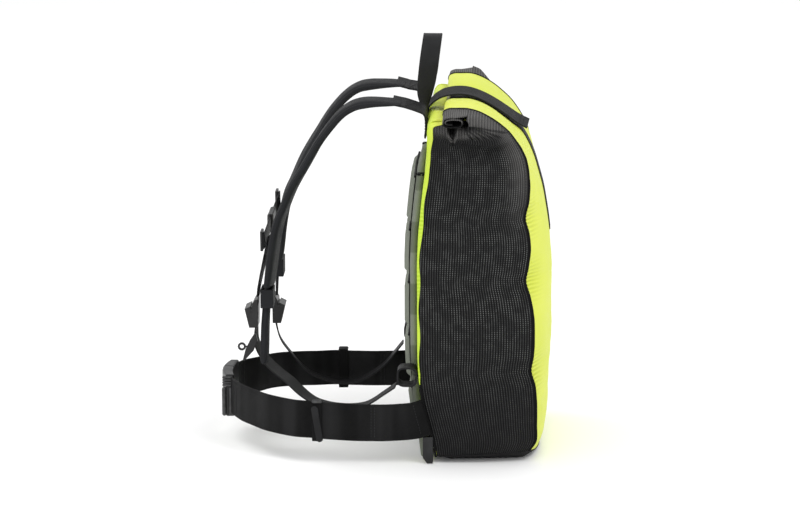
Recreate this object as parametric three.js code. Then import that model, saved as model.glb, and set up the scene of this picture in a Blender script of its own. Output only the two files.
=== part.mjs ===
// Roll-top cycling backpack: a tall soft bag with a rolled mouth, a foam back, padded shoulder
// straps, a hip belt and a grab handle. Millimetres, +Z up. The origin is the middle of the base.
// The bag's front looks along -Y and the wearer's back is on the +Y side, with the wearer's right at +X.
import * as THREE from 'three';
import { mergeVertices } from 'three/addons/utils/BufferGeometryUtils.js';

// Bag
const bagHeight = 475;
const bagDepth = 174;
const seamHalf = 135;
const cloth = 2;
const seamGap = 0.2;
const sideBulge = 13;
const backBulge = 3;
const valleyDeep = 9;
const valleyHalf = 45;
const valleyFrom = 0.89;
const clearance = 0.35;

// Rolled mouth
const rollDepth = 30;
const rollTall = 16.5;
const rollTurns = 1.6;
const rollPitch = 3;
const rollStart = 128;
const rollStep = 32;
const earReach = 68;
const earDroop = 4;

// Stripe, closing strap and handle
const stripeHalf = 13.5;
const stripeThick = 1.2;
const closureWide = 36;
const closureThick = 2.2;
const handleRise = 74;
const handleHalf = 34;
const handleWide = 25;
const handleThick = 2.6;

// Foam back
const plateHalf = 110;
const plateTall = 383;
const plateThick = 9.5;
const hangFrom = 0.35;
const hangTo = 0.415;
const hangTop = 90;
const ridgeHalf = 84;
const ridgeStart = 30;
const ridgeTall = 60;
const ridgePitch = 71;
const ridgeThick = 7;
const ridgeCount = 5;

// Shoulder straps
const strapApart = 75;
const strapReach = 194;
const padWide = 50;
const padThick = 11;
const tapeWide = 40;
const tapeThick = 2.6;
const webWide = 25;
const webThick = 1.8;
const sleeveTall = 25;
const sleeveWide = 34;
const sleeveDeep = 17;
const sleeveWall = 2.3;
const sleeveDrop = 1.8;
const lockTall = 38;
const lockWide = 32;
const leafThick = 4;
const loopThick = 3;
const loopRound = 5.6;
const loopHole = 2.8;
const loopBehind = 10.55;
const loopAbove = 1.5;
const anchorTall = 27;
const anchorDeep = 28;
const anchorThick = 2.5;

// Chest strap
const sternumWide = 20;
const sternumPast = 8;
const chestLong = 34;
const chestTall = 25;
const chestThick = 8;
const sliderLong = 15;
const sliderTall = 27;
const sliderThick = 3.6;

// Hip belt
const beltWide = 50;
const beltThick = 2.8;
const beltHalf = 140.5;
const beltReach = 256;
const beltRise = 58;
const buckleLong = 70;
const buckleThick = 15;
const buckleBow = 6;
const buckleLip = 4;
const buckleSplit = 5;
const buckleSlope = 0.04;
const keeperLong = 13;
const keeperPlay = 0.6;
const keeperWall = 2.2;

// The tabs at the lower corners
const footTall = 36;
const footDeep = 13.4;
const footThick = 3;

// The bag's cloth, a row for each height. up columns are shares of bagHeight, the others of bagDepth,
// and wide is a share of seamHalf. seam is the edge between front and side, mid the front's middle.
const clothRows = [
  { up: 0.03, seam: -0.42, mid: -0.485, wide: 0.9, backUp: 0.018, back: 0.29, sag: 0.022 },
  { up: 0.06, seam: -0.465, mid: -0.525, wide: 0.92, backUp: 0.06, back: 0.31, sag: 0.008 },
  { up: 0.11, seam: -0.467, mid: -0.545, wide: 0.94, backUp: 0.11, back: 0.345, sag: 0 },
  { up: 0.185, seam: -0.463, mid: -0.557, wide: 0.95, backUp: 0.185, back: 0.396, sag: 0 },
  { up: 0.222, seam: -0.452, mid: -0.563, wide: 0.94, backUp: 0.222, back: 0.411, sag: 0 },
  { up: 0.262, seam: -0.422, mid: -0.57, wide: 0.94, backUp: 0.262, back: 0.42, sag: 0 },
  { up: 0.3, seam: -0.438, mid: -0.573, wide: 0.94, backUp: 0.3, back: 0.425, sag: 0 },
  { up: 0.36, seam: -0.444, mid: -0.576, wide: 0.94, backUp: 0.36, back: 0.427, sag: 0 },
  { up: 0.42, seam: -0.438, mid: -0.577, wide: 0.94, backUp: 0.42, back: 0.428, sag: 0 },
  { up: 0.468, seam: -0.415, mid: -0.576, wide: 0.93, backUp: 0.468, back: 0.428, sag: 0 },
  { up: 0.516, seam: -0.38, mid: -0.572, wide: 0.92, backUp: 0.516, back: 0.429, sag: 0 },
  { up: 0.555, seam: -0.397, mid: -0.565, wide: 0.93, backUp: 0.555, back: 0.43, sag: 0 },
  { up: 0.61, seam: -0.41, mid: -0.554, wide: 0.93, backUp: 0.61, back: 0.425, sag: 0 },
  { up: 0.65, seam: -0.397, mid: -0.54, wide: 0.92, backUp: 0.65, back: 0.42, sag: 0 },
  { up: 0.69, seam: -0.368, mid: -0.522, wide: 0.91, backUp: 0.69, back: 0.41, sag: 0 },
  { up: 0.73, seam: -0.39, mid: -0.502, wide: 0.91, backUp: 0.73, back: 0.4, sag: 0 },
  { up: 0.78, seam: -0.398, mid: -0.465, wide: 0.9, backUp: 0.78, back: 0.385, sag: 0 },
  { up: 0.822, seam: -0.39, mid: -0.43, wide: 0.9, backUp: 0.822, back: 0.37, sag: 0 },
  { up: 0.858, seam: -0.368, mid: -0.388, wide: 0.89, backUp: 0.85, back: 0.362, sag: 0 },
  { up: 0.893, seam: -0.32, mid: -0.33, wide: 0.89, backUp: 0.882, back: 0.358, sag: 0 },
  { up: 0.927, seam: -0.253, mid: -0.262, wide: 0.9, backUp: 0.915, back: 0.356, sag: 0 },
  { up: 0.954, seam: -0.172, mid: -0.178, wide: 0.93, backUp: 0.94, back: 0.354, sag: 0 },
  { up: 0.973, seam: -0.1, mid: -0.105, wide: 0.96, backUp: 0.957, back: 0.335, sag: 0 },
  { up: 0.99, seam: -0.01, mid: -0.012, wide: 0.98, backUp: 0.9615, back: 0.19, sag: 0 },
  { up: 0.997, seam: 0.055, mid: 0.055, wide: 1, backUp: 0.968, back: 0.045, sag: 0 },
];

// The side's fold out to the ear, for the last cloth rows. Each spot is out (share of earReach past
// seamHalf), y (share of bagDepth) and up (share of bagHeight).
const earRows = [
  {
    fold: { out: 0.07, y: -0.225, up: 0.905 }, rib: { out: 0.24, y: 0.05, up: 0.9 },
    hip: { out: 0.16, y: 0.24, up: 0.908 },
  },
  {
    fold: { out: 0.26, y: -0.14, up: 0.935 }, rib: { out: 0.4, y: 0.07, up: 0.92 },
    hip: { out: 0.26, y: 0.25, up: 0.928 },
  },
  {
    fold: { out: 0.52, y: -0.06, up: 0.957 }, rib: { out: 0.6, y: 0.09, up: 0.93 },
    hip: { out: 0.34, y: 0.245, up: 0.938 },
  },
  {
    fold: { out: 0.84, y: 0.015, up: 0.975 }, rib: { out: 0.78, y: 0.058, up: 0.949 },
    hip: { out: 0.4, y: 0.14, up: 0.9535 },
  },
  {
    fold: { out: 1, y: 0.05, up: 0.9865 }, rib: { out: 0.84, y: 0.042, up: 0.974 },
    hip: { out: 0.4, y: 0.042, up: 0.968 },
  },
];

// Routes of the shoulder straps. reach is a share of strapReach behind the bag's back, up a share of
// bagHeight, out a share of strapApart, twist is in degrees and thick a share of padThick.
const padRoute = [
  { reach: 0.125, up: 0.9905, out: 0.95, twist: 0, thick: 0.36 },
  { reach: 0.25, up: 0.9905, out: 0.96, twist: 0, thick: 0.72 },
  { reach: 0.367, up: 0.987, out: 0.98, twist: 0, thick: 1 },
  { reach: 0.45, up: 0.978, out: 1, twist: 0, thick: 1 },
  { reach: 0.53, up: 0.955, out: 1, twist: 1, thick: 1 },
  { reach: 0.602, up: 0.922, out: 1.01, twist: 2, thick: 1 },
  { reach: 0.668, up: 0.885, out: 1.02, twist: 3, thick: 1 },
  { reach: 0.735, up: 0.84, out: 1.03, twist: 4, thick: 1 },
  { reach: 0.797, up: 0.796, out: 1.05, twist: 5, thick: 1 },
  { reach: 0.849, up: 0.754, out: 1.07, twist: 6, thick: 1 },
  { reach: 0.9, up: 0.706, out: 1.09, twist: 7, thick: 1 },
  { reach: 0.946, up: 0.661, out: 1.11, twist: 8, thick: 1 },
  { reach: 0.973, up: 0.613, out: 1.13, twist: 8, thick: 1 },
  { reach: 0.99, up: 0.567, out: 1.15, twist: 8, thick: 1 },
  { reach: 1.003, up: 0.516, out: 1.17, twist: 8, thick: 0.95 },
  { reach: 1.016, up: 0.479, out: 1.18, twist: 8, thick: 0.8 },
];
const tapeRoute = [
  { reach: -0.0415, up: 0.897, out: 0.95, twist: 0 },
  { reach: -0.043, up: 0.945, out: 0.95, twist: 0 },
  { reach: -0.032, up: 0.966, out: 0.95, twist: 0 },
  { reach: 0.0113, up: 0.9775, out: 0.95, twist: 0 },
  { reach: 0.078, up: 0.9865, out: 0.95, twist: 0 },
  { reach: 0.119, up: 0.9903, out: 0.95, twist: 0 },
];

// The adjusting webs on the outer side of the pads, and the folded end of the left one.
const webRoutes = {
  left: [
    { reach: 1.01, up: 0.62, out: 1.15, twist: 8 },
    { reach: 1.042, up: 0.556, out: 1.16, twist: 8 },
    { reach: 1.068, up: 0.507, out: 1.18, twist: 6 },
    { reach: 1.086, up: 0.468, out: 1.19, twist: 4 },
    { reach: 1.09, up: 0.45, out: 1.2, twist: 2 },
  ],
  right: [
    { reach: 1.015, up: 0.608, out: 1.15, twist: 8 },
    { reach: 1.033, up: 0.56, out: 1.16, twist: 8 },
    { reach: 1.046, up: 0.52, out: 1.17, twist: 8 },
    { reach: 1.052, up: 0.49, out: 1.18, twist: 8 },
  ],
};
const tailRoutes = {
  left: [
    { reach: 1.032, up: 0.466, out: 1.22, twist: 8 },
    { reach: 1.034, up: 0.42, out: 1.22, twist: 8 },
    { reach: 1.04, up: 0.37, out: 1.28, twist: 24 },
    { reach: 1.042, up: 0.32, out: 1.36, twist: 30 },
    { reach: 1.045, up: 0.264, out: 1.42, twist: 30 },
  ],
  right: [
    { reach: 1.032, up: 0.466, out: 1.22, twist: 8 },
    { reach: 1.034, up: 0.42, out: 1.22, twist: 8 },
    { reach: 1.036, up: 0.3657, out: 1.22, twist: 4 },
  ],
};

// The lower straps hang from the locks to the bag's lower corners, each in its own way.
const lowerRoutes = {
  left: [
    { reach: 1.104, up: 0.3577, out: 1.17, twist: 4 },
    { reach: 1.107, up: 0.316, out: 1.1, twist: 8 },
    { reach: 1.073, up: 0.28, out: 1.05, twist: 14 },
    { reach: 0.996, up: 0.246, out: 1.16, twist: 22 },
    { reach: 0.872, up: 0.214, out: 1.36, twist: 24 },
    { reach: 0.813, up: 0.194, out: 1.44, twist: 24 },
    { reach: 0.705, up: 0.166, out: 1.54, twist: 18 },
    { reach: 0.527, up: 0.152, out: 1.58, twist: 10 },
    { reach: 0.352, up: 0.16, out: 1.61, twist: 4 },
    { reach: 0.243, up: 0.188, out: 1.62, twist: 2 },
    { reach: 0.147, up: 0.217, out: 1.65, twist: 0 },
  ],
  right: [
    { reach: 1.045, up: 0.28, out: 1.22, twist: 4 },
    { reach: 1.016, up: 0.2316, out: 1.28, twist: 8 },
    { reach: 0.943, up: 0.184, out: 1.36, twist: 10 },
    { reach: 0.85, up: 0.136, out: 1.44, twist: 10 },
    { reach: 0.772, up: 0.112, out: 1.5, twist: 8 },
    { reach: 0.594, up: 0.09, out: 1.57, twist: 4 },
    { reach: 0.475, up: 0.093, out: 1.6, twist: 2 },
    { reach: 0.3, up: 0.135, out: 1.62, twist: 0 },
    { reach: 0.147, up: 0.208, out: 1.65, twist: 0 },
  ],
};

// The belt from the bag's lower corner to the buckle. out is a share of beltHalf, reach of beltReach
// behind the bag's back, rise of beltRise, and lean is in degrees.
const beltRoute = [
  { out: 1.0, reach: -0.046, rise: 1.095, lean: 0 },
  { out: 1.006, reach: 0.02, rise: 1.017, lean: 0 },
  { out: 1.007, reach: 0.118, rise: 0.974, lean: 0 },
  { out: 1.0, reach: 0.294, rise: 0.966, lean: 1 },
  { out: 0.978, reach: 0.47, rise: 0.983, lean: 2 },
  { out: 0.921, reach: 0.626, rise: 1.0, lean: 3 },
  { out: 0.791, reach: 0.77, rise: 1.034, lean: 3 },
  { out: 0.597, reach: 0.88, rise: 1.06, lean: 2 },
  { out: 0.417, reach: 0.954, rise: 1.078, lean: 1 },
];
const beltTip = { reach: 0.987, rise: 1.095 };

// The closing strap over the roll. y is a share of bagDepth, up of bagHeight, twist is in degrees.
const closureRoute = [
  { y: 0.38, up: 0.905, twist: 0 },
  { y: 0.378, up: 0.95, twist: 0 },
  { y: 0.345, up: 0.97, twist: 4 },
  { y: 0.27, up: 0.9895, twist: 7 },
  { y: 0.19, up: 0.997, twist: 8 },
  { y: 0.09, up: 0.9975, twist: 8 },
  { y: -0.017, up: 0.9865, twist: 8 },
  { y: -0.132, up: 0.9645, twist: 9 },
  { y: -0.24, up: 0.938, twist: 10 },
  { y: -0.312, up: 0.92, twist: 11 },
  { y: -0.385, up: 0.906, twist: 12 },
];
const closureShift = -2;

// One leg of the handle, from its sewn foot to its top. out is a share of handleHalf, y of bagDepth,
// rise of handleRise above the bag, and turn is how far the web has turned from flat to edge-on.
const handleRoute = [
  { out: 1, y: 0.382, rise: -0.6, turn: 0 },
  { out: 1, y: 0.384, rise: -0.3, turn: 0 },
  { out: 1, y: 0.396, rise: -0.04, turn: 0.5 },
  { out: 0.98, y: 0.38, rise: 0.28, turn: 0.85 },
  { out: 0.84, y: 0.36, rise: 0.68, turn: 1 },
  { out: 0.48, y: 0.345, rise: 0.94, turn: 1 },
];
const handleTop = { y: 0.342 };

// Small vector helpers
const V = (x, y, z) => new THREE.Vector3(x, y, z);
const mix = (a, b, t) => a + (b - a) * t;
const mixV = (a, b, t) => a.clone().lerp(b, t);
const ease = (low, high, t) => THREE.MathUtils.smoothstep(t, low, high);
const radians = THREE.MathUtils.degToRad;

// Closed solids from grids and rings
function solid(points, triangles) {
  const geometry = new THREE.BufferGeometry();
  geometry.setAttribute('position', new THREE.Float32BufferAttribute(points.flatMap((p) => p.toArray()), 3));
  geometry.setIndex(triangles.flat());
  return geometry;
}

// Two grids of the same size, the outer one seen from outside, closed along their four edges.
function shell(outer, inner) {
  const rows = outer.length;
  const columns = outer[0].length;
  const points = [...outer.flat(), ...inner.flat()];
  const out = (i, j) => i * columns + j;
  const inn = (i, j) => rows * columns + i * columns + j;
  const triangles = [];
  const quad = (a, b, c, d) => triangles.push([a, b, c], [a, c, d]);
  for (let i = 0; i < rows - 1; i++) {
    for (let j = 0; j < columns - 1; j++) {
      quad(out(i, j), out(i, j + 1), out(i + 1, j + 1), out(i + 1, j));
      quad(inn(i, j), inn(i + 1, j), inn(i + 1, j + 1), inn(i, j + 1));
    }
  }
  for (let j = 0; j < columns - 1; j++) {
    quad(out(0, j), inn(0, j), inn(0, j + 1), out(0, j + 1));
    quad(out(rows - 1, j), out(rows - 1, j + 1), inn(rows - 1, j + 1), inn(rows - 1, j));
  }
  for (let i = 0; i < rows - 1; i++) {
    quad(out(i, 0), out(i + 1, 0), inn(i + 1, 0), inn(i, 0));
    quad(out(i, columns - 1), inn(i, columns - 1), inn(i + 1, columns - 1), out(i + 1, columns - 1));
  }
  return solid(points, triangles);
}

// Unit normals of a grid, facing the side from which rows go up and columns go right.
function normalsOf(grid) {
  const last = (list) => list.length - 1;
  return grid.map((row, i) => row.map((_, j) => {
    const along = grid[Math.min(i + 1, last(grid))][j].clone().sub(grid[Math.max(i - 1, 0)][j]);
    const across = row[Math.min(j + 1, last(row))].clone().sub(row[Math.max(j - 1, 0)]);
    return across.cross(along).normalize();
  }));
}

// The point that lies one thickness under every face that meets at a seam.
function underSeam(point, faces, thick) {
  if (faces.length === 1) return point.clone().addScaledVector(faces[0], -thick);
  if (faces.length === 2) {
    const sum = faces[0].clone().add(faces[1]);
    return point.clone().addScaledVector(sum, -thick / (1 + faces[0].dot(faces[1])));
  }
  const planes = new THREE.Matrix3().set(
    ...faces[0].toArray(), ...faces[1].toArray(), ...faces[2].toArray(),
  );
  return point.clone().add(V(-thick, -thick, -thick).applyMatrix3(planes.invert()));
}

// A cloth panel from its outer grid. neighbour(i, j) lists the normals of the panels sewn to it there.
function panel(grid, neighbour, edges) {
  const normals = normalsOf(grid);
  const under = (p, i, j) => underSeam(p, [normals[i][j], ...neighbour(i, j)], cloth);
  const inner = grid.map((row, i) => row.map((p, j) => under(p, i, j)));
  return shell(trim(grid, edges), trim(inner, edges));
}

// Draws the named edges of a grid back by the seam gap.
function trim(grid, edges) {
  const copy = grid.map((row) => row.map((p) => p.clone()));
  const rows = grid.length - 1;
  const columns = grid[0].length - 1;
  const pull = (p, toward) => p.add(toward.clone().sub(p).setLength(seamGap));
  for (let j = 0; j <= columns; j++) {
    if (edges.includes('first')) pull(copy[0][j], copy[1][j]);
    if (edges.includes('last')) pull(copy[rows][j], copy[rows - 1][j]);
  }
  for (let i = 0; i <= rows; i++) {
    if (edges.includes('left')) pull(copy[i][0], copy[i][1]);
    if (edges.includes('right')) pull(copy[i][columns], copy[i][columns - 1]);
  }
  return copy;
}

// A band or pad swept along stations of { at, across, wide, thick }, with chamfered long edges.
function band(stations, chamfer = 0.25) {
  const corner = [[-1, -1 + chamfer], [-1, 1 - chamfer], [-1 + chamfer, 1], [1 - chamfer, 1],
    [1, 1 - chamfer], [1, -1 + chamfer], [1 - chamfer, -1], [-1 + chamfer, -1]];
  const ring = chamfer > 0 ? corner : [[-1, -1], [-1, 1], [1, 1], [1, -1]];
  const last = stations.length - 1;
  const points = stations.flatMap((s, i) => {
    const course = stations[Math.min(i + 1, last)].at.clone().sub(stations[Math.max(i - 1, 0)].at).normalize();
    const along = s.along ?? course;
    const side = s.across.clone().addScaledVector(along, -s.across.dot(along)).normalize();
    const face = along.clone().cross(side);
    return ring.map(([u, v]) => {
      const full = Math.abs(u) > 0.99 || chamfer === 0;
      const inset = full ? u : Math.sign(u) * (1 - chamfer * s.thick / s.wide);
      return s.at.clone().addScaledVector(side, inset * s.wide / 2).addScaledVector(face, v * s.thick / 2);
    });
  });
  const n = ring.length;
  const triangles = [];
  for (let i = 0; i < last; i++) {
    for (let k = 0; k < n; k++) {
      const a = i * n + k;
      const b = i * n + (k + 1) % n;
      triangles.push([a, b, b + n], [a, b + n, a + n]);
    }
  }
  for (let k = 1; k < n - 1; k++) {
    triangles.push([0, k + 1, k], [last * n, last * n + k, last * n + k + 1]);
  }
  return outward(solid(points, triangles));
}

// Turns every face of a closed solid outward if its volume comes out negative.
function outward(geometry) {
  const p = geometry.getAttribute('position');
  const index = Array.from(geometry.index.array);
  const at = (i) => V(p.getX(i), p.getY(i), p.getZ(i));
  let volume = 0;
  for (let i = 0; i < index.length; i += 3) {
    volume += at(index[i]).dot(at(index[i + 1]).cross(at(index[i + 2])));
  }
  if (volume < 0) {
    for (let i = 0; i < index.length; i += 3) [index[i], index[i + 1]] = [index[i + 1], index[i]];
    geometry.setIndex(index);
  }
  return geometry;
}

// Evenly placed stations on a smooth route. Each row gives a point, a width direction and sizes.
function smooth(rows, count) {
  const curve = new THREE.CatmullRomCurve3(rows.map((r) => r.at), false, 'centripetal');
  const pick = (t, f) => {
    const i = Math.min(Math.floor(t * (rows.length - 1)), rows.length - 2);
    return f(rows[i], rows[i + 1], t * (rows.length - 1) - i);
  };
  return Array.from({ length: count + 1 }, (_, k) => {
    const t = k / count;
    return {
      at: curve.getPoint(t),
      across: pick(t, (a, b, s) => mixV(a.across, b.across, s)),
      wide: pick(t, (a, b, s) => mix(a.wide, b.wide, s)),
      thick: pick(t, (a, b, s) => mix(a.thick, b.thick, s)),
    };
  });
}

// A closed outline in (across, along) drawn out by depth with small bevels, its middle at the origin.
function slab(outline, depth, bevel, holes = []) {
  const shape = new THREE.Shape(outline.map(([x, y]) => new THREE.Vector2(x, y)));
  holes.forEach((hole) => shape.holes.push(new THREE.Path(hole.map(([x, y]) => new THREE.Vector2(x, y)))));
  const geometry = new THREE.ExtrudeGeometry(shape, {
    depth: depth - 2 * bevel, steps: 1, curveSegments: 4,
    bevelEnabled: bevel > 0, bevelSize: bevel, bevelThickness: bevel, bevelOffset: -bevel, bevelSegments: 1,
  });
  geometry.translate(0, 0, bevel - depth / 2);
  geometry.deleteAttribute('normal');
  geometry.deleteAttribute('uv');
  return mergeVertices(geometry, 1e-3);
}

const box = (wide, tall) => [[-1, -1], [1, -1], [1, 1], [-1, 1]].map(([x, y]) => [x * wide / 2, y * tall / 2]);

// Moves a geometry so that its own X, Y and Z lie along the given directions, at a place.
function place(geometry, at, xAxis, yAxis) {
  const x = xAxis.clone().normalize();
  const z = x.clone().cross(yAxis).normalize();
  const y = z.clone().cross(x);
  return geometry.applyMatrix4(new THREE.Matrix4().makeBasis(x, y, z).setPosition(at));
}

// The bag's grids. Rows run up and columns to the right as seen from outside.
const stripeShare = stripeHalf / seamHalf;
const frontColumns = [-1, -0.8, -0.52, -0.28, -stripeShare, stripeShare, 0.28, 0.52, 0.8, 1];
const backHalf = (row) => seamHalf * mix(0.985, 1, ease(0, 0.2, row.backUp));

// How far the closing strap presses the cloth down, at a place across and up the front.
const across = (x) => Math.exp(-((x / valleyHalf) ** 2));
const valley = (x, up) => valleyDeep * across(x) * ease(valleyFrom, valleyFrom + 0.05, up);

function frontPoint(row, u) {
  const swell = 1 - Math.abs(u) ** 2.6;
  const x = u * seamHalf * mix(1, row.wide, Math.abs(u));
  const y = bagDepth * mix(row.seam, row.mid, swell);
  return V(x, y, bagHeight * (row.up - row.sag * swell) - valley(x, row.up) * swell);
}

// The roll is a flattened spiral that goes on where the last cloth row ends, and turns back and under.
const rollSteps = Math.round(rollTurns * 360 / rollStep);
const topRow = clothRows[clothRows.length - 1];
const rollMiddle = V(0, bagDepth * topRow.seam + rollDepth * 0.615, bagHeight * 0.9985 - rollTall / 2);

function rollPoint(x, step) {
  const angle = radians(rollStart - step * rollStep);
  const shrink = rollPitch * step * rollStep / 360;
  const soft = (value) => Math.sign(value) * Math.abs(value) ** 0.72;
  const y = (rollDepth / 2 - shrink) * soft(Math.cos(angle));
  const z = (rollTall / 2 - shrink) * soft(Math.sin(angle));
  const past = Math.max(0, (Math.abs(x) - seamHalf) / earReach);
  const swell = Math.max(0, 1 - Math.abs(x / seamHalf) ** 2.6);
  return rollMiddle.clone().add(V(x, y, z - valley(x, 1) * swell - earDroop * past ** 1.5));
}

const rollRows = (list) => Array.from({ length: rollSteps }, (_, k) => list.map((x) => rollPoint(x, k + 1)));

function frontGrid() {
  const body = clothRows.map((row) => frontColumns.map((u) => frontPoint(row, u)));
  return [...body, ...rollRows(frontColumns.map((u) => u * seamHalf))];
}

function backGrid() {
  return clothRows.map((row) => frontColumns.map((u) => {
    const x = -u * backHalf(row);
    const swell = backBulge * (1 - u * u) * ease(0, 0.15, row.up) * ease(0.3, 0.36, row.back);
    const pressed = valley(x, 1) * (1 - Math.abs(u) ** 2.6) * ease(0.95, 0.962, row.backUp);
    return V(x, bagDepth * row.back + swell, bagHeight * row.backUp - pressed);
  }));
}

// A side from its front seam to its back seam. side is -1 for the left and 1 for the right.
function sideGrid(side) {
  const first = clothRows.length - earRows.length;
  const rows = clothRows.map((row, i) => {
    const front = V(side * seamHalf * row.wide, bagDepth * row.seam, bagHeight * row.up);
    const back = V(side * backHalf(row), bagDepth * row.back, bagHeight * row.backUp);
    const bulged = (c) => {
      const swell = (1 - (2 * c - 1) ** 2) * sideBulge * ease(0, 0.12, row.up + 0.02);
      return mixV(front, back, c).add(V(side * swell, 0, 0));
    };
    const folded = (s) => V(side * (seamHalf + earReach * s.out), bagDepth * s.y, bagHeight * s.up);
    const ear = earRows[i - first];
    const spots = ear ? [ear.fold, ear.rib, ear.hip].map(folded) : [0.2, 0.5, 0.8].map(bulged);
    const curve = new THREE.CatmullRomCurve3([front, ...spots, back], false, 'centripetal');
    return Array.from({ length: 9 }, (_, k) => curve.getPoint(k / 8));
  });
  return side < 0 ? rows.map((row) => row.reverse()) : rows;
}

function alongList(list, t) {
  const spot = t * (list.length - 1);
  const i = Math.min(Math.floor(spot), list.length - 2);
  return mixV(list[i], list[i + 1], spot - i);
}

// The base blends the four lower edges and is flat in the middle. Its rows run from back to front.
function baseGrid(front, back, left, right) {
  const ends = frontColumns.length - 1;
  return left.map((_, i) => frontColumns.map((u, j) => {
    const v = i / (left.length - 1);
    const s = (u + 1) / 2;
    const backAt = alongList(back, s);
    const corners = mixV(mixV(back[0], back[back.length - 1], s), mixV(front[0], front[ends], s), v);
    const p = mixV(left[i], right[i], s).add(mixV(backAt, front[j], v)).sub(corners);
    p.z *= ease(0.82, 1, Math.max(Math.abs(u), Math.abs(2 * v - 1)));
    return p;
  }));
}

const front = frontGrid();
const back = backGrid();
const left = sideGrid(-1);
const right = sideGrid(1);
const base = baseGrid(front[0], back[0].slice().reverse(), left[0], right[0].slice().reverse());
const lastOf = (list) => list[list.length - 1];
const bodyRows = clothRows.length;

// The roll's end beyond a side seam starts on the side's upper edge and follows the same spiral.
const earColumns = 3;
const endGrid = (top) => [top, ...rollRows(top.map((p) => p.x))];
const endLeft = endGrid(lastOf(left).slice(-earColumns));
const endRight = endGrid(lastOf(right).slice(0, earColumns));
const facing = Object.fromEntries(Object.entries({ front, back, left, right, base, endLeft, endRight })
  .map(([name, grid]) => [name, normalsOf(grid)]));

// The normals of the panels that meet each panel's edge at a row and a column.
function sewnToFront(i, j) {
  const list = [];
  if (i < bodyRows && j === 0) list.push(lastOf(facing.left[i]));
  if (i < bodyRows && j === frontColumns.length - 1) list.push(facing.right[i][0]);
  if (i === 0) list.push(lastOf(facing.base)[j]);
  return list;
}

function sewnToBack(i, j) {
  const list = [];
  if (j === 0) list.push(lastOf(facing.right[i]));
  if (j === frontColumns.length - 1) list.push(facing.left[i][0]);
  if (i === 0) list.push(facing.base[0][frontColumns.length - 1 - j]);
  return list;
}

function sewnToSide(side) {
  const toward = side < 0 ? [facing.back.map(lastOf), facing.front.map((row) => row[0])]
    : [facing.front.map(lastOf), facing.back.map((row) => row[0])];
  return (i, j) => {
    const list = [];
    if (j === 0) list.push(toward[0][i]);
    if (j === 8) list.push(toward[1][i]);
    if (i === 0) list.push(side < 0 ? facing.base[j][0] : lastOf(facing.base[8 - j]));
    const inEar = side < 0 ? j - (9 - earColumns) : j;
    if (i === bodyRows - 1 && inEar >= 0 && inEar < earColumns) {
      list.splice(0, list.length, side < 0 ? facing.endLeft[0][inEar] : facing.endRight[0][inEar]);
    }
    return list;
  };
}

function sewnToBase(i, j) {
  const list = [];
  if (i === 0) list.push(facing.back[0][frontColumns.length - 1 - j]);
  if (i === 8) list.push(facing.front[0][j]);
  if (j === 0) list.push(facing.left[0][i]);
  if (j === frontColumns.length - 1) list.push(facing.right[0][8 - i]);
  return list;
}

// Colours and finishes, then the named pieces
const paints = {
  yellow: new THREE.MeshStandardMaterial({ color: 0xdcf03c, roughness: 0.62, metalness: 0 }),
  black: new THREE.MeshStandardMaterial({ color: 0x1d1d1f, roughness: 0.78, metalness: 0 }),
  webbing: new THREE.MeshStandardMaterial({ color: 0x1f2022, roughness: 0.72, metalness: 0 }),
  pad: new THREE.MeshStandardMaterial({ color: 0x2b2d30, roughness: 0.85, metalness: 0 }),
  foam: new THREE.MeshStandardMaterial({ color: 0x6b7064, roughness: 0.8, metalness: 0 }),
  plastic: new THREE.MeshStandardMaterial({ color: 0x1b1c1e, roughness: 0.45, metalness: 0 }),
};
const bag = new THREE.Group();

function add(name, geometry, paint) {
  const mesh = new THREE.Mesh(geometry, paints[paint]);
  mesh.name = name;
  bag.add(mesh);
}

function addBody() {
  add('front_panel', panel(front, sewnToFront, ['first', 'left', 'right']), 'yellow');
  add('back_panel', panel(back, sewnToBack, ['first', 'left', 'right']), 'yellow');
  add('side_panel_left', panel(left, sewnToSide(-1), ['first', 'left', 'right', 'last']), 'black');
  add('side_panel_right', panel(right, sewnToSide(1), ['first', 'left', 'right', 'last']), 'black');
  add('bottom_panel', panel(base, sewnToBase, ['first', 'last', 'left', 'right']), 'black');
}

function addRollEnds() {
  const onSide = (list) => (i, j) => (i === 0 ? [list[j]] : []);
  const leftEdge = lastOf(facing.left).slice(-earColumns);
  const rightEdge = lastOf(facing.right).slice(0, earColumns);
  add('roll_end_left', panel(endLeft, onSide(leftEdge), ['first', 'right']), 'black');
  add('roll_end_right', panel(endRight, onSide(rightEdge), ['first', 'left']), 'black');
}

// The stripe down the middle of the front, on the two columns that are as far apart as it is wide.
function addStripe() {
  const from = clothRows.findIndex((row) => row.up > 0.6);
  const rows = front.slice(from, bodyRows + 2);
  const faces = facing.front.slice(from, bodyRows + 2);
  const edges = [4, 5];
  const raised = (i, j, height) => rows[i][j].clone().addScaledVector(faces[i][j], height);
  const lift = (height) => rows.map((_, i) => edges.map((j) => raised(i, j, height)));
  add('front_stripe', shell(lift(clearance + stripeThick), lift(clearance)), 'black');
}

// A point of a grid's face at a place across and at a height, from the rows that bracket it.
function faceY(grid, x, z) {
  const i = Math.max(0, grid.findIndex((row) => row[0].z > z) - 1);
  const rowY = (row) => {
    const along = (lastOf(row).x - x) / (lastOf(row).x - row[0].x);
    const columns = row.length - 1;
    let j = row.findIndex((p, k) => k < columns && (p.x - x) * (row[k + 1].x - x) <= 0);
    if (j < 0) j = along > 0.5 ? 0 : columns - 1;
    return mix(row[j].y, row[j + 1].y, (x - row[j].x) / (row[j + 1].x - row[j].x));
  };
  const low = grid[i];
  const high = grid[i + 1];
  return mix(rowY(low), rowY(high), THREE.MathUtils.clamp((z - low[0].z) / (high[0].z - low[0].z), 0, 1));
}

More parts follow.
